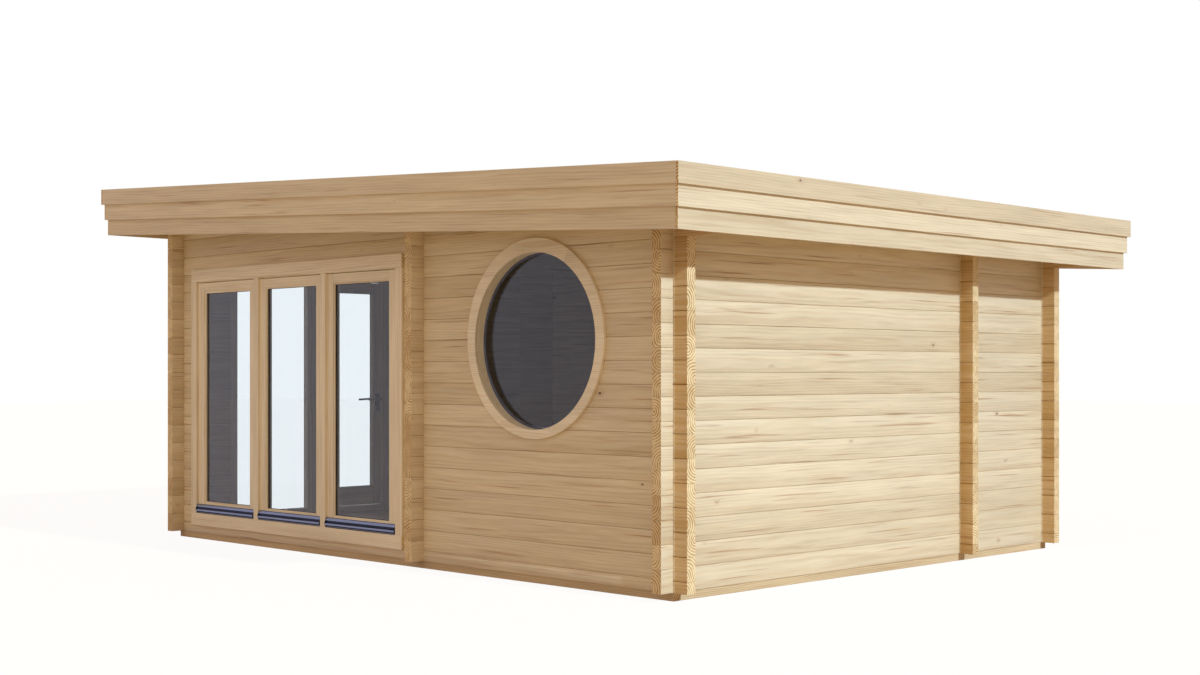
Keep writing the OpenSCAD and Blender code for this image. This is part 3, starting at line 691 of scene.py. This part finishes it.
def tongues(mesh, along, gap):
    """A thin strip in the joint under each log, so that no light shows through the wall"""
    # The strip is about a quarter as thick as the log, bites into both logs and stops short of the ends
    half_share, bite, short = 0.12, 0.0003, 0.006
    label, _ = islands(mesh)
    points = vertices_of(mesh)
    thin, lowest, spans = 1 - along, points[:, Z].min() + 0.02, []
    for log in range(label.max() + 1):
        own = points[label == log]
        low, high = own.min(0), own.max(0)
        if low[Z] < lowest:
            continue
        middle, half = (low[thin] + high[thin]) / 2, (high[thin] - low[thin]) * half_share
        low[thin], high[thin] = middle - half, middle + half
        low[along] += short
        high[along] -= short
        low[Z], high[Z] = low[Z] - gap - bite, low[Z] + bite
        spans.append((low, high))
    return boxes(spans, 0.0001, 1)


def log_wall(name, nodes, along, first, seed):
    """Separate logs in the shape of the CAD walls. The first joint is "first" courses up."""
    size = sizes()
    # The logs start a hair inside the CAD faces, so that no face is cut by itself. They start
    # too long, and the CAD wall cuts them to length, to the roof's slope and round the openings.
    hair, spare_end = 0.0002, 0.05
    solid = mesh_from(node_solids(nodes[0]), "solid")
    for node in nodes[1:]:
        solid = boolean(solid, mesh_from(node_solids(node), "solid"), "UNION")
    corners = [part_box(node) for node in nodes]
    low = [min(c[0][i] for c in corners) for i in range(3)]
    high = [max(c[1][i] for c in corners) for i in range(3)]
    thin = 1 - along
    low[thin] += hair
    high[thin] -= hair
    low[along] -= spare_end
    high[along] += spare_end
    low[Z] = BASE_TOP + (first - 1) * size.course
    rows = math.ceil((high[Z] - low[Z]) / size.course)
    high[Z] = low[Z] + rows * size.course
    logs = board_row(low, high, along, Z, size.course, size.log_gap, size.log_round)
    spare = solid.copy()
    bm = bmesh.new()
    bm.from_mesh(boolean(logs, solid, "INTERSECT"))
    flatten(bm)
    soften(bm, 0.0012, segments=1, least=60.0)
    mesh = mesh_from(bm, name)
    strips = boolean(tongues(mesh, along, size.log_gap), spare, "INTERSECT")
    mesh = joined([mesh, strips], name)
    set_grain(mesh, seed, along)
    return piece(name, mesh, LOG_FINISH, nodes=nodes)


class CABIN_OT_log_walls(bpy.types.Operator):
    """Builds the outer walls and the partitions from separate logs"""
    bl_idname = "cabin.log_walls"
    bl_label = "Log walls"

    def execute(self, context):
        log_wall("front_logs", ("front_wall_left", "front_wall_at_glazing", "front_wall_right"), X, 0.5, 11)
        log_wall("back_logs", ("back_wall",), X, 0.5, 12)
        log_wall("left_logs", ("left_wall", "left_wall_at_door"), Y, 1, 13)
        log_wall("right_logs", ("right_wall",), Y, 1, 14)
        log_wall("long_partition_logs", ("long_partition", "long_partition_headers"), Y, 1, 15)
        log_wall("short_partition_logs", ("short_partition",), X, 0.5, 16)
        return {"FINISHED"}


# --- Base, floor and roof -------------------------------------------------------------------------

class CABIN_OT_base_and_floor(bpy.types.Operator):
    """Builds the foundation beams, the joists and the floor boards"""
    bl_idname = "cabin.base_and_floor"
    bl_label = "Base and floor"

    def execute(self, context):
        size = sizes()
        planed("foundation_timbers", ("foundation_beams_across", "foundation_beams_along"),
               SAWN_FINISH, seed=21)
        planed("floor_joist_timbers", ("floor_joists",), SAWN_FINISH, seed=22)
        low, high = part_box("floor_boards")
        low.x -= size.floor_board / 2
        high.x += size.floor_board
        # The planks lie a hair inside the CAD slab, so that no face is cut by itself
        hair = Vector((0, 0, 0.0001))
        row = board_row(low + hair, high - hair, Y, X, size.floor_board, size.joint_gap, 0.001,
                        material="floor")
        rooms = mesh_from(node_solids("floor_boards"), "rooms")
        mesh = boolean(row, rooms, "INTERSECT")
        set_grain(mesh, 23, Y)
        piece("floor_planks", mesh, ("floor", "spruce_end"), nodes=("floor_boards",))
        return {"FINISHED"}


class CABIN_OT_roof(bpy.types.Operator):
    """Builds the ceiling, the rafters, the deck, the roof sheet and the fascia boards"""
    bl_idname = "cabin.roof"
    bl_label = "Roof"

    def execute(self, context):
        size = sizes()
        for node, name, slot, pitch, key, seed in (
                ("ceiling_boards", "soffit_planks", "planed_boards", size.soffit_board, "spruce", 31),
                ("roof_deck", "deck_planks", "framing_timber", size.deck_board, "sawn", 32)):
            low, high, base, rise = levelled(node)
            count = round((high.x - low.x) / pitch)
            row = board_row(low, high, Y, X, (high.x - low.x) / count, size.joint_gap, 0.003,
                            material=key)
            mesh = sheared(row, rise, base)
            set_grain(mesh, seed, Y)
            piece(name, mesh, (key, "spruce_end"), nodes=(node,))
        planed("rafter_timbers", ("rafters",), SAWN_FINISH, seed=33)
        self.sheet(size)
        for tier, seed in (("top", 34), ("middle", 35), ("bottom", 36)):
            planed(tier + "_fascia", (tier + "_fascia_ends", tier + "_fascia_sides"),
                   BOARD_FINISH, seed=seed, arris=0.0025)
        return {"FINISHED"}

    def sheet(self, size):
        """Strips of roof sheet down the slope, each lapped over the one before"""
        low, high, base, rise = levelled("roof_membrane")
        count = math.ceil((high.y - low.y) / size.roof_strip)
        strip = (high.y - low.y) / count
        strips = board_row(low, high, X, Y, strip, 0.0, 0.0008, material="roof_sheet")
        # Laps and raised edges reach down into the sheet, so that they are one with it
        root, lap_top, edge_top = high.z - 0.0005, high.z + 0.0018, high.z + 0.016
        laps = [((low.x, low.y + i * strip - size.lap / 2, root),
                 (high.x, low.y + i * strip + size.lap / 2, lap_top)) for i in range(1, count)]
        # A raised edge where the sheet turns up against the top fascia
        edge = 0.022
        for y0, y1 in ((low.y, low.y + edge), (high.y - edge, high.y)):
            laps.append(((low.x, y0, root), (high.x, y1, edge_top)))
        for x0, x1 in ((low.x, low.x + edge), (high.x - edge, high.x)):
            laps.append(((x0, low.y + edge, root), (x1, high.y - edge, edge_top)))
        mesh = sheared(joined([strips, boxes(laps, 0.0008)], "roof_sheet"), rise, base)
        piece("roof_sheet", mesh, ("roof_sheet",), nodes=("roof_membrane",))


# --- Glazing --------------------------------------------------------------------------------------

def solid_boxes(node):
    """Corners of each solid of a CAD node, from left to right along X"""
    mesh = mesh_from(node_solids(node), "solids")
    label, _ = islands(mesh)
    points = vertices_of(mesh)
    found = [(Vector(points[label == i].min(0)), Vector(points[label == i].max(0)))
             for i in range(label.max() + 1)]
    bpy.data.meshes.remove(mesh)
    return sorted(found, key=lambda pair: tuple(pair[0]))


def fixed_panes(thin):
    """Corners of the fixed panes that are thin along an axis"""
    return [(low, high) for low, high in solid_boxes("fixed_glass") if high[thin] - low[thin] < THICKEST_PANE]


def glaze(node):
    """Gives the panes of a CAD node their glass"""
    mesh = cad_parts[node].data
    mesh.materials.clear()
    mesh.materials.append(finish("glass"))


def picture_frame(low, high, thin, width, depth):
    """Four strips round the inside of a rectangle, between two depths along the thin axis"""
    across = 1 - thin
    spans = []
    for axis in (across, Z):
        for side in (0, 1):
            a, b = Vector(low), Vector(high)
            a[thin], b[thin] = depth
            if axis == Z:
                # The level strips stand between the upright ones
                a[across] += width
                b[across] -= width
            if side:
                a[axis] = high[axis] - width
            else:
                b[axis] = low[axis] + width
            spans.append((a, b))
    return spans


def beads_and_gaskets(prefix, panes, thin, outer, inner, body="cabin", wide_first=False, seed=41,
                      rim=None):
    """Glazing beads on both sides of each pane, and the rubber line between bead and glass.
    "outer" and "inner" are the faces of the sash along the thin axis. "rim" has the corners
    of a sash with a thin raised rim, which draws a second line in its stiles and rails."""
    size = sizes()
    rubber, outer_step, inner_step, hair = 0.0018, 0.006, 0.004, 0.0001
    rim_width, rim_rise = 0.034, 0.003
    wood_spans, rubber_spans = [], []
    for i, (low, high) in enumerate(panes):
        width = size.wide_bead if wide_first and i == 0 else size.bead
        front, back = low[thin] - rubber, high[thin] + rubber
        wood_spans += picture_frame(low, high, thin, width, (outer + outer_step, front))
        wood_spans += picture_frame(low, high, thin, size.bead, (back, inner - inner_step))
        for bead, depth in ((width, (front, low[thin] - hair)), (size.bead, (high[thin] + hair, back))):
            rubber_spans += picture_frame(low, high, thin, bead + size.gasket, depth)
    mesh = boxes(wood_spans, 0.0022)
    if rim:
        spans = picture_frame(*rim, thin, rim_width, (outer - rim_rise, outer + rim_rise))
        mesh = joined([mesh, boxes(spans, 0.0012)], "beads")
    set_grain(mesh, seed)
    piece(prefix + "_beads", mesh, JOINERY_FINISH, body)
    piece(prefix + "_gaskets", boxes(rubber_spans, 0.0004, 1), ("gasket",), body)


# Section of a weather bar in millimetres, as reach from the face and height: a foot,
# the big nose, a groove for the seal and the small nose over it. Then the seal in the
# groove, a black rubber strip under the nose that is painted shade for its dark underside,
# the bead of sealant on top and the end caps.
BAR_SECTION = (
    (0, 0), (11, 0), (12, 1), (12, 11), (13.5, 12.5), (24, 13), (26, 15), (26, 22), (24.5, 25.5), (20, 28),
    (10, 29), (8, 30), (8, 43), (10, 44), (17, 44.5), (18.5, 46.5), (17.5, 50.5), (13, 57), (8.5, 62.5),
    (6.5, 63.5), (0, 63.5),
)
SEAL_SECTION = ((7.5, 29.2), (13, 29.6), (15, 32), (15.5, 37), (15, 42), (13, 44), (7.5, 43.8))
# Painted shade: a black strip under the big nose, where the nose's underside is dark from shade
NOSE_SHADE_SECTION = ((11.5, 3), (16, 3.5), (23, 8), (25.3, 12.8), (11.5, 12.8))
TOP_SECTION = ((0, 63), (7.5, 63), (6.5, 65.6), (0, 66.2))
CAP_SECTION = ((0, -2), (14, -2), (14, 13), (26, 14.5), (26, 33), (19.5, 46), (9, 64), (0, 64))


def extruded(section, start, end, face, base, along):
    """A section that reaches out from a face, drawn out from start to end along an axis"""
    bm = bmesh.new()
    thin = 1 - along
    ends = []
    for place in (start, end):
        ring = []
        for reach, height in section:
            point = [0.0, 0.0, base + height * MM]
            point[along], point[thin] = place, face - reach * MM
            ring.append(bm.verts.new(point))
        ends.append(ring)
    bm.faces.new(ends[0])
    bm.faces.new(ends[1])
    for i in range(len(section)):
        j = (i + 1) % len(section)
        bm.faces.new((ends[0][i], ends[0][j], ends[1][j], ends[1][i]))
    return mesh_from(bm, "extruded")


def weather_bars(prefix, node, along, body="cabin"):
    """Aluminium bars with a rubber seal in the groove and a cap on each end"""
    cap, thin = sizes().end_cap, 1 - along
    bars, seals_and_shade_strip, caps = [], [], []
    for low, high in solid_boxes(node):
        # Where the bar stands: the face it lies against, its foot and the axis it runs along
        seat = (high[thin], low.z, along)
        first, last = low[along] + cap, high[along] - cap
        bars.append(extruded(BAR_SECTION, first, last, *seat))
        # Besides the seal and the sealant, the black strip under the nose is painted shade in rubber
        for section in (SEAL_SECTION, NOSE_SHADE_SECTION, TOP_SECTION):
            seals_and_shade_strip.append(extruded(section, first, last, *seat))
        caps.append(extruded(CAP_SECTION, low[along], first, *seat))
        caps.append(extruded(CAP_SECTION, last, high[along], *seat))
    piece(prefix + "_bars", joined(bars, "bars"), ("aluminium",), body, (node,))
    piece(prefix + "_bar_seals", joined(seals_and_shade_strip + caps, "seals_and_shade_strip"), ("gasket",), body)


class CABIN_OT_front_glazing(bpy.types.Operator):
    """Builds the three glazed sashes in the front wall with their frame and trim"""
    bl_idname = "cabin.front_glazing"
    bl_label = "Front glazing"

    def execute(self, context):
        planed("glazing_frame", ("glazing_posts", "glazing_head_and_sill"),
               JOINERY_FINISH, seed=42)
        planed("glazing_sashes", ("sash_stiles", "sash_rails"), JOINERY_FINISH, seed=43,
               arris=0.002)
        planed("trim_boards", ("trim_boards_upright", "trim_boards_level"),
               JOINERY_FINISH, seed=44, arris=0.0022)
        front = [p for p in fixed_panes(Y) if p[1].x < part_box("round_window_trim")[0].x]
        outer, inner = (corner.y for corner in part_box("sash_stiles"))
        # The first two stiles are those of the left sash
        stiles = solid_boxes("sash_stiles")
        beads_and_gaskets("sash", front, Y, outer, inner, wide_first=True, seed=45,
                          rim=(stiles[0][0], stiles[1][1]))
        glaze("fixed_glass")
        weather_bars("sash", "sash_weather_bars", X)
        return {"FINISHED"}


# --- Round window ---------------------------------------------------------------------------------

def ring_piece(middle, outer, inner, y0, y1, parts, arris, gap=0.0003, drop=0.0):
    """A flat wooden ring in separate arcs. The hole may lie lower than the outline by "drop"."""
    bm = bmesh.new()
    # The first joint stands 15 degrees above the level, and a full ring has 96 steps
    first_joint, steps = 0.26, 96 // parts
    for part in range(parts):
        start = math.tau * part / parts + first_joint
        trim = gap / outer
        angles = [start + trim + (math.tau / parts - 2 * trim) * i / steps for i in range(steps + 1)]
        rows = []
        for angle in angles:
            c, s = math.cos(angle), math.sin(angle)
            rim = Vector((middle.x + outer * c, 0, middle.z + outer * s))
            hole = Vector((middle.x + inner * c, 0, middle.z - drop + inner * s))
            way = (rim - hole).normalized()
            # Each front edge is rounded in two steps
            bend = arris * 0.3
            section = (
                (hole, 0.0, y0 + arris), (hole, bend, y0 + bend), (hole, arris, y0),
                (rim, -arris, y0), (rim, -bend, y0 + bend), (rim, 0.0, y0 + arris),
                (rim, 0.0, y1), (hole, 0.0, y1),
            )
            rows.append([bm.verts.new(Vector((p.x, y, p.z)) + way * out) for p, out, y in section])
        for near, far in zip(rows, rows[1:]):
            for i in range(len(near)):
                j = (i + 1) % len(near)
                bm.faces.new((near[i], near[j], far[j], far[i]))
        bm.faces.new(rows[0])
        bm.faces.new(rows[-1])
    return mesh_from(bm, "ring")


class CABIN_OT_round_window(bpy.types.Operator):
    """Builds the round window's trim, frame, ledge and gaskets"""
    bl_idname = "cabin.round_window"
    bl_label = "Round window"

    def execute(self, context):
        trim_low, trim_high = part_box("round_window_trim")
        frame_low, frame_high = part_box("round_window_frame")
        pane_low, pane_high = [p for p in fixed_panes(Y) if p[0].x > trim_low.x][0]
        trim_middle = (trim_low + trim_high) / 2
        middle = (frame_low + frame_high) / 2
        hole = (pane_high.x - pane_low.x) / 2
        parts, arris = 8, 0.003

        def round_the_ring(point):
            out = Vector((point[X] - middle.x, 0, point[Z] - middle.z)).normalized()
            return -out.z, 0.0, out.x

        trim = ring_piece(trim_middle, (trim_high.x - trim_low.x) / 2, hole, trim_low.y, trim_high.y,
                          parts, arris, drop=trim_middle.z - middle.z)
        set_grain(trim, 51, X)
        piece("round_trim", trim, ("joinery",), nodes=("round_window_trim",))
        reveal = ring_piece(middle, (frame_high.x - frame_low.x) / 2, hole + 0.001,
                            frame_low.y + 0.0015, frame_high.y, parts, arris)
        ledge = ring_piece(middle, hole + 0.004, hole - 0.014, pane_high.y + 0.0018,
                           frame_high.y - 0.001, parts, 0.002)
        ring = joined([reveal, ledge], "round_frame")
        set_grain(ring, 52, direction=round_the_ring)
        piece("round_frame", ring, JOINERY_FINISH, nodes=("round_window_frame",))
        rubber = joined([
            ring_piece(middle, hole + 0.0005, hole - 0.0015, pane_low.y - 0.002, pane_low.y - 0.0001, 1,
                       0.0005, gap=0.0),
            ring_piece(middle, hole + 0.0005, hole - 0.0155, pane_high.y + 0.0001, frame_high.y - 0.002, 1,
                       0.0004, gap=0.0)], "round_gaskets")
        closed = mesh_from(merged(rubber), "round_gaskets")
        bpy.data.meshes.remove(rubber)
        piece("round_gaskets", closed, ("pane_seal",))
        return {"FINISHED"}


# --- Side door ------------------------------------------------------------------------------------

def smooth_copy(node, angle=35.0):
    """A merged copy of a CAD node with its round faces shaded smooth"""
    mesh = mesh_from(merged(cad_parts[node].data), node)
    mesh.shade_smooth()
    mesh.set_sharp_from_angle(angle=math.radians(angle))
    return mesh


def screw_tree():
    """Countersunk screw heads with a cross recess, one on each point of the mesh"""
    tree = bpy.data.node_groups.new("screw_heads", "GeometryNodeTree")
    tree.interface.new_socket("Geometry", in_out="OUTPUT", socket_type="NodeSocketGeometry")
    for name, kind in (("Geometry", "Geometry"), ("Radius", "Float"), ("Depth", "Float"),
                       ("Finish", "Material")):
        tree.interface.new_socket(name, in_out="INPUT", socket_type="NodeSocket" + kind)
    given = add(tree, "NodeGroupInput").outputs
    head = add(tree, "GeometryNodeMeshCylinder", {"Vertices": 16, "Radius": given["Radius"],
                                                  "Depth": given["Depth"]}, fill_type="NGON")
    # Each slot of the cross is 1.2 radii long and 0.28 radii wide, and sits above the middle
    slot_long = add(tree, "ShaderNodeMath", {0: given["Radius"], 1: 1.2}, operation="MULTIPLY")
    slot_wide = add(tree, "ShaderNodeMath", {0: given["Radius"], 1: 0.28}, operation="MULTIPLY")
    solids = []
    for a, b in ((slot_long, slot_wide), (slot_wide, slot_long)):
        size = add(tree, "ShaderNodeCombineXYZ", {"X": a.outputs[0], "Y": b.outputs[0],
                                                  "Z": given["Depth"]})
        bar = add(tree, "GeometryNodeMeshCube", {"Size": size.outputs[0]})
        up = add(tree, "ShaderNodeMath", {0: given["Depth"], 1: 0.6}, operation="MULTIPLY")
        lift = add(tree, "ShaderNodeCombineXYZ", {"Z": up.outputs[0]})
        solids.append(add(tree, "GeometryNodeTransform", {"Geometry": bar.outputs[0],
                                                          "Translation": lift.outputs[0]}))
    cross = add(tree, "GeometryNodeMeshBoolean", operation="DIFFERENCE")
    tree.links.new(head.outputs[0], cross.inputs[0])
    for solid in solids:
        tree.links.new(solid.outputs[0], cross.inputs[1])
    # Each point's normal is the way that its head looks
    normal = add(tree, "GeometryNodeInputNamedAttribute", {"Name": "facing"}, data_type="FLOAT_VECTOR")
    turn = add(tree, "FunctionNodeAlignRotationToVector", {"Vector": normal.outputs[0]}, axis="Z")
    heads = add(tree, "GeometryNodeInstanceOnPoints", {"Points": given["Geometry"],
                                                       "Instance": cross.outputs[0],
                                                       "Rotation": turn.outputs[0]})
    real = add(tree, "GeometryNodeRealizeInstances", {0: heads.outputs[0]})
    done = add(tree, "GeometryNodeSetMaterial", {"Geometry": real.outputs[0],
                                                 "Material": given["Finish"]})
    add(tree, "NodeGroupOutput", {0: done.outputs[0]})
    return tree


def screws(name, points, key, body):
    """Screw heads at (place, facing) pairs"""
    tree = bpy.data.node_groups.get("screw_heads") or screw_tree()
    mesh = bpy.data.meshes.new(name)
    mesh.from_pydata([place for place, _ in points], [], [])
    facing = mesh.attributes.new("facing", "FLOAT_VECTOR", "POINT")
    facing.data.foreach_set("vector", np.array([way for _, way in points], float).ravel())
    base = new_object(name, mesh)
    heads = base.modifiers.new("heads", "NODES")
    heads.node_group = tree
    values = {"Radius": sizes().screw_r, "Depth": 0.0016, "Finish": finish(key)}
    for item in tree.interface.items_tree:
        if item.in_out == "INPUT" and item.name in values:
            heads[item.identifier] = values[item.name]
    piece(name, evaluated_mesh(base), (key,), body)


class CABIN_OT_side_door(bpy.types.Operator):
    """Builds the side door: frame, fixed light, leaf, weather bar, hinges and handle"""
    bl_idname = "cabin.side_door"
    bl_label = "Side door"

    def execute(self, context):
        planed("side_door_frame", ("side_door_posts", "side_door_head_and_sill"),
               JOINERY_FINISH, seed=61)
        planed("side_door_leaf", ("side_door_stiles", "side_door_rails"),
               JOINERY_FINISH, "side_door", seed=62, arris=0.002)
        outer, inner = (corner.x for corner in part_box("side_door_stiles"))
        # The fixed light's beads reach 20 mm further into the room than the leaf's
        further = 0.02
        beads_and_gaskets("side_light", fixed_panes(X), X, outer, inner + further, seed=63)
        beads_and_gaskets("side_leaf", solid_boxes("side_door_glass"), X, outer, inner, "side_door",
                          seed=64)
        glaze("side_door_glass")
        weather_bars("side_door", "side_door_weather_bar", Y, "side_door")
        self.hinges(outer)
        self.handle(outer)
        return {"FINISHED"}

    def hinges(self, outer):
        """Hinge halves with two screws each, on the leaf's outer face"""
        # The plates are 2.5 mm thick, and their screws stand 10 mm in from the upright edge. They
        # share out a height of 34 mm, which starts 4 mm above the foot of each half.
        plate, inset, foot, height = 0.0025, 0.010, 0.004, 0.034
        for node, body in (("side_door_hinge_pins", "cabin"), ("side_door_hinge_knuckles", "side_door")):
            piece(node + "_smooth", smooth_copy(node), ("zinc",), body, (node,))
            points = []
            for low, high in solid_boxes(node):
                y = low.y + inset if body == "cabin" else high.y - inset
                for share in (0.25, 0.75):
                    points.append(((outer - plate, y, low.z + foot + share * height), (-1, 0, 0)))
            screws(node + "_screws", points, "zinc", body)

    def handle(self, outer):
        """Handle plates with a screw near each end, and the two levers"""
        node = "side_door_handle_plates"
        plates = node_solids(node)
        soften(plates, 0.0022, 2, 60.0)
        piece("handle_plates", mesh_from(plates, "plates"), ("handle",), "side_door", (node,))
        points, inset = [], 0.016
        for low, high in solid_boxes(node):
            x, way = (low.x, -1) if low.x < outer else (high.x, 1)
            for z in (low.z + inset, high.z - inset):
                points.append(((x, (low.y + high.y) / 2, z), (way, 0, 0)))
        screws("handle_plate_screws", points, "handle", "side_door")
        levers = smooth_copy("side_door_handles", 50.0)
        self.bend(levers)
        piece("levers", levers, ("handle",), "door_handles", ("side_door_handles",))

    def bend(self, mesh):
        """Draws each straight lever as a low arch that droops at its tip"""
        low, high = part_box("side_door_handles")
        neck, arch, droop = 0.018, 0.010, 0.006
        # The arch is over at four fifths of the lever's reach
        arch_end = 1.25
        reach = high.y - low.y - neck
        for v in mesh.vertices:
            out = (high.y - neck - v.co.y) / reach
            if out > 0:
                v.co.z += arch * math.sin(math.pi * min(1.0, out * arch_end)) - droop * out * out
        mesh.update()


# --- Stage ----------------------------------------------------------------------------------------

class CABIN_OT_stage(bpy.types.Operator):
    """Sets the floor, the lights and the camera"""
    bl_idname = "cabin.stage"
    bl_label = "Stage"

    def execute(self, context):
        self.ground()
        self.lights(context)
        self.camera(context)
        context.scene.view_settings.view_transform = "Standard"
        return {"FINISHED"}

    def ground(self):
        # The floor lies a millimetre under the beams, so that the two don't share a face
        half, level = 60.0, -0.001
        corners = [(x * half, y * half, level) for x, y in ((-1, -1), (1, -1), (1, 1), (-1, 1))]
        mesh = bpy.data.meshes.new("ground")
        mesh.from_pydata(corners, [], [(0, 1, 2, 3)])
        material = bpy.data.materials.new("studio_floor")
        material.use_nodes = True
        tree = material.node_tree
        tree.nodes.clear()
        matt = add(tree, "ShaderNodeBsdfDiffuse", {"Color": (0.60, 0.47, 0.33, 1.0)})
        white = add(tree, "ShaderNodeEmission", {"Color": self.background_colour(tree), "Strength": 1.16})
        # A fifth of the floor seen is matt floor, which keeps a soft shadow on the white
        seen = self.seen_as_background(tree)
        share = add(tree, "ShaderNodeMath", {0: seen, 1: 0.8}, operation="MULTIPLY")
        mixed = add(tree, "ShaderNodeMixShader", {0: share.outputs[0], 1: matt.outputs[0],
                                                  2: white.outputs[0]})
        add(tree, "ShaderNodeOutputMaterial", {0: mixed.outputs[0]})
        mesh.materials.append(material)
        new_object("ground", mesh)

    def seen_as_background(self, tree):
        """1 for rays that show the background: straight, mirrored or through glass"""
        path = add(tree, "ShaderNodeLightPath").outputs
        first = add(tree, "ShaderNodeMath", {0: path["Is Camera Ray"], 1: path["Is Glossy Ray"]},
                    operation="MAXIMUM")
        both = add(tree, "ShaderNodeMath", {0: first.outputs[0], 1: path["Is Transmission Ray"]},
                   operation="MAXIMUM")
        # Light that reaches a room through a pane comes after a matt bounce, and isn't background
        direct = add(tree, "ShaderNodeMath", {0: path["Diffuse Depth"], 1: 0.5}, operation="LESS_THAN")
        seen = add(tree, "ShaderNodeMath", {0: both.outputs[0], 1: direct.outputs[0]},
                   operation="MULTIPLY")
        return seen.outputs[0]

    def background_colour(self, tree):
        """White where it is seen, a cool sky in mirrors, and brighter behind the tinted panes"""
        path = add(tree, "ShaderNodeLightPath").outputs
        mirrored = add(tree, "ShaderNodeMix", {0: path["Is Glossy Ray"], 6: (1.0, 1.0, 1.0, 1.0),
                                               7: (0.46, 0.50, 0.92, 1.0)}, data_type="RGBA")
        through = add(tree, "ShaderNodeMix", {0: path["Is Transmission Ray"], 6: mirrored.outputs[2],
                                              7: (1.82, 1.59, 1.21, 1.0)}, data_type="RGBA")
        return through.outputs[2]

    def lights(self, context):
        world = bpy.data.worlds.new("studio")
        context.scene.world = world
        world.use_nodes = True
        tree = world.node_tree
        tree.nodes.clear()
        # Warm soft light on the object, plain white where the background is seen
        soft = add(tree, "ShaderNodeBackground", {"Color": (1.0, 0.80, 0.65, 1.0), "Strength": 0.44})
        white = add(tree, "ShaderNodeBackground", {"Color": self.background_colour(tree), "Strength": 1.0})
        mixed = add(tree, "ShaderNodeMixShader", {0: self.seen_as_background(tree), 1: soft.outputs[0],
                                                  2: white.outputs[0]})
        add(tree, "ShaderNodeOutputWorld", {0: mixed.outputs[0]})
        # The light falls from the right, a trace from behind, 30 degrees above the ground
        rise = math.radians(30)
        self.far_lamp(context, "sun", 2.46, 1.5, (0.725, 0.873, 1.0), (math.cos(rise), 0.04, math.sin(rise)))
        # The bright part of the sky in front of the cabin, which the eaves keep off the wall's top
        self.far_lamp(context, "sky", 0.34, 70, (1.0, 0.82, 0.68), (0.25, -0.8, 0.55))

    def far_lamp(self, context, name, energy, spread, tint, towards):
        """A lamp as far off as the sun, in a given direction and "spread" degrees wide"""
        light = bpy.data.lights.new(name, "SUN")
        light.energy, light.angle, light.color = energy, math.radians(spread), tint
        lamp = bpy.data.objects.new(name, light)
        lamp.rotation_euler = Vector(towards).to_track_quat("Z", "Y").to_euler()
        context.scene.collection.objects.link(lamp)

    def camera(self, context):
        # The camera stands off the front right corner at eye level and looks level, so uprights
        # stay upright, and the shift lifts the view
        data = bpy.data.cameras.new("camera")
        data.lens, data.sensor_width = 49.58, 36.0
        data.shift_y = 0.0294
        camera = bpy.data.objects.new("camera", data)
        camera.location = (9.002, -8.922, 1.296)
        turn = 0.7883
        camera.rotation_euler = (math.pi / 2, 0.0, turn)
        context.scene.collection.objects.link(camera)
        context.scene.camera = camera


class CABIN_PT_pieces(bpy.types.Panel):
    """Lists what can be built, with the sizes and the colours"""
    bl_idname = "CABIN_PT_pieces"
    bl_label = "Log sauna cabin"
    bl_space_type = "VIEW_3D"
    bl_region_type = "UI"
    bl_category = "Cabin"

    def draw(self, context):
        layout = self.layout
        for operator in OPERATORS:
            layout.operator(operator.bl_idname)
        for group in (context.scene.cabin_sizes, context.scene.cabin_colours):
            column = layout.column()
            for name in group.bl_rna.properties.keys():
                if name not in ("rna_type", "name"):
                    column.prop(group, name)


OPERATORS = (
    CABIN_OT_log_walls, CABIN_OT_base_and_floor, CABIN_OT_roof, CABIN_OT_front_glazing,
    CABIN_OT_round_window, CABIN_OT_side_door, CABIN_OT_stage,
)
CLASSES = (CabinSizes, CabinColours) + OPERATORS + (CABIN_PT_pieces,)


def register():
    for cls in CLASSES:
        bpy.utils.register_class(cls)
    bpy.types.Scene.cabin_sizes = PointerProperty(type=CabinSizes)
    bpy.types.Scene.cabin_colours = PointerProperty(type=CabinColours)


def unregister():
    del bpy.types.Scene.cabin_sizes
    del bpy.types.Scene.cabin_colours
    for cls in reversed(CLASSES):
        bpy.utils.unregister_class(cls)


def main():
    register()
    bpy.ops.cabin.log_walls()
    bpy.ops.cabin.base_and_floor()
    bpy.ops.cabin.roof()
    bpy.ops.cabin.front_glazing()
    bpy.ops.cabin.round_window()
    bpy.ops.cabin.side_door()
    bpy.ops.cabin.stage()
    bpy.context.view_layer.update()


if __name__ == "__main__":
    main()
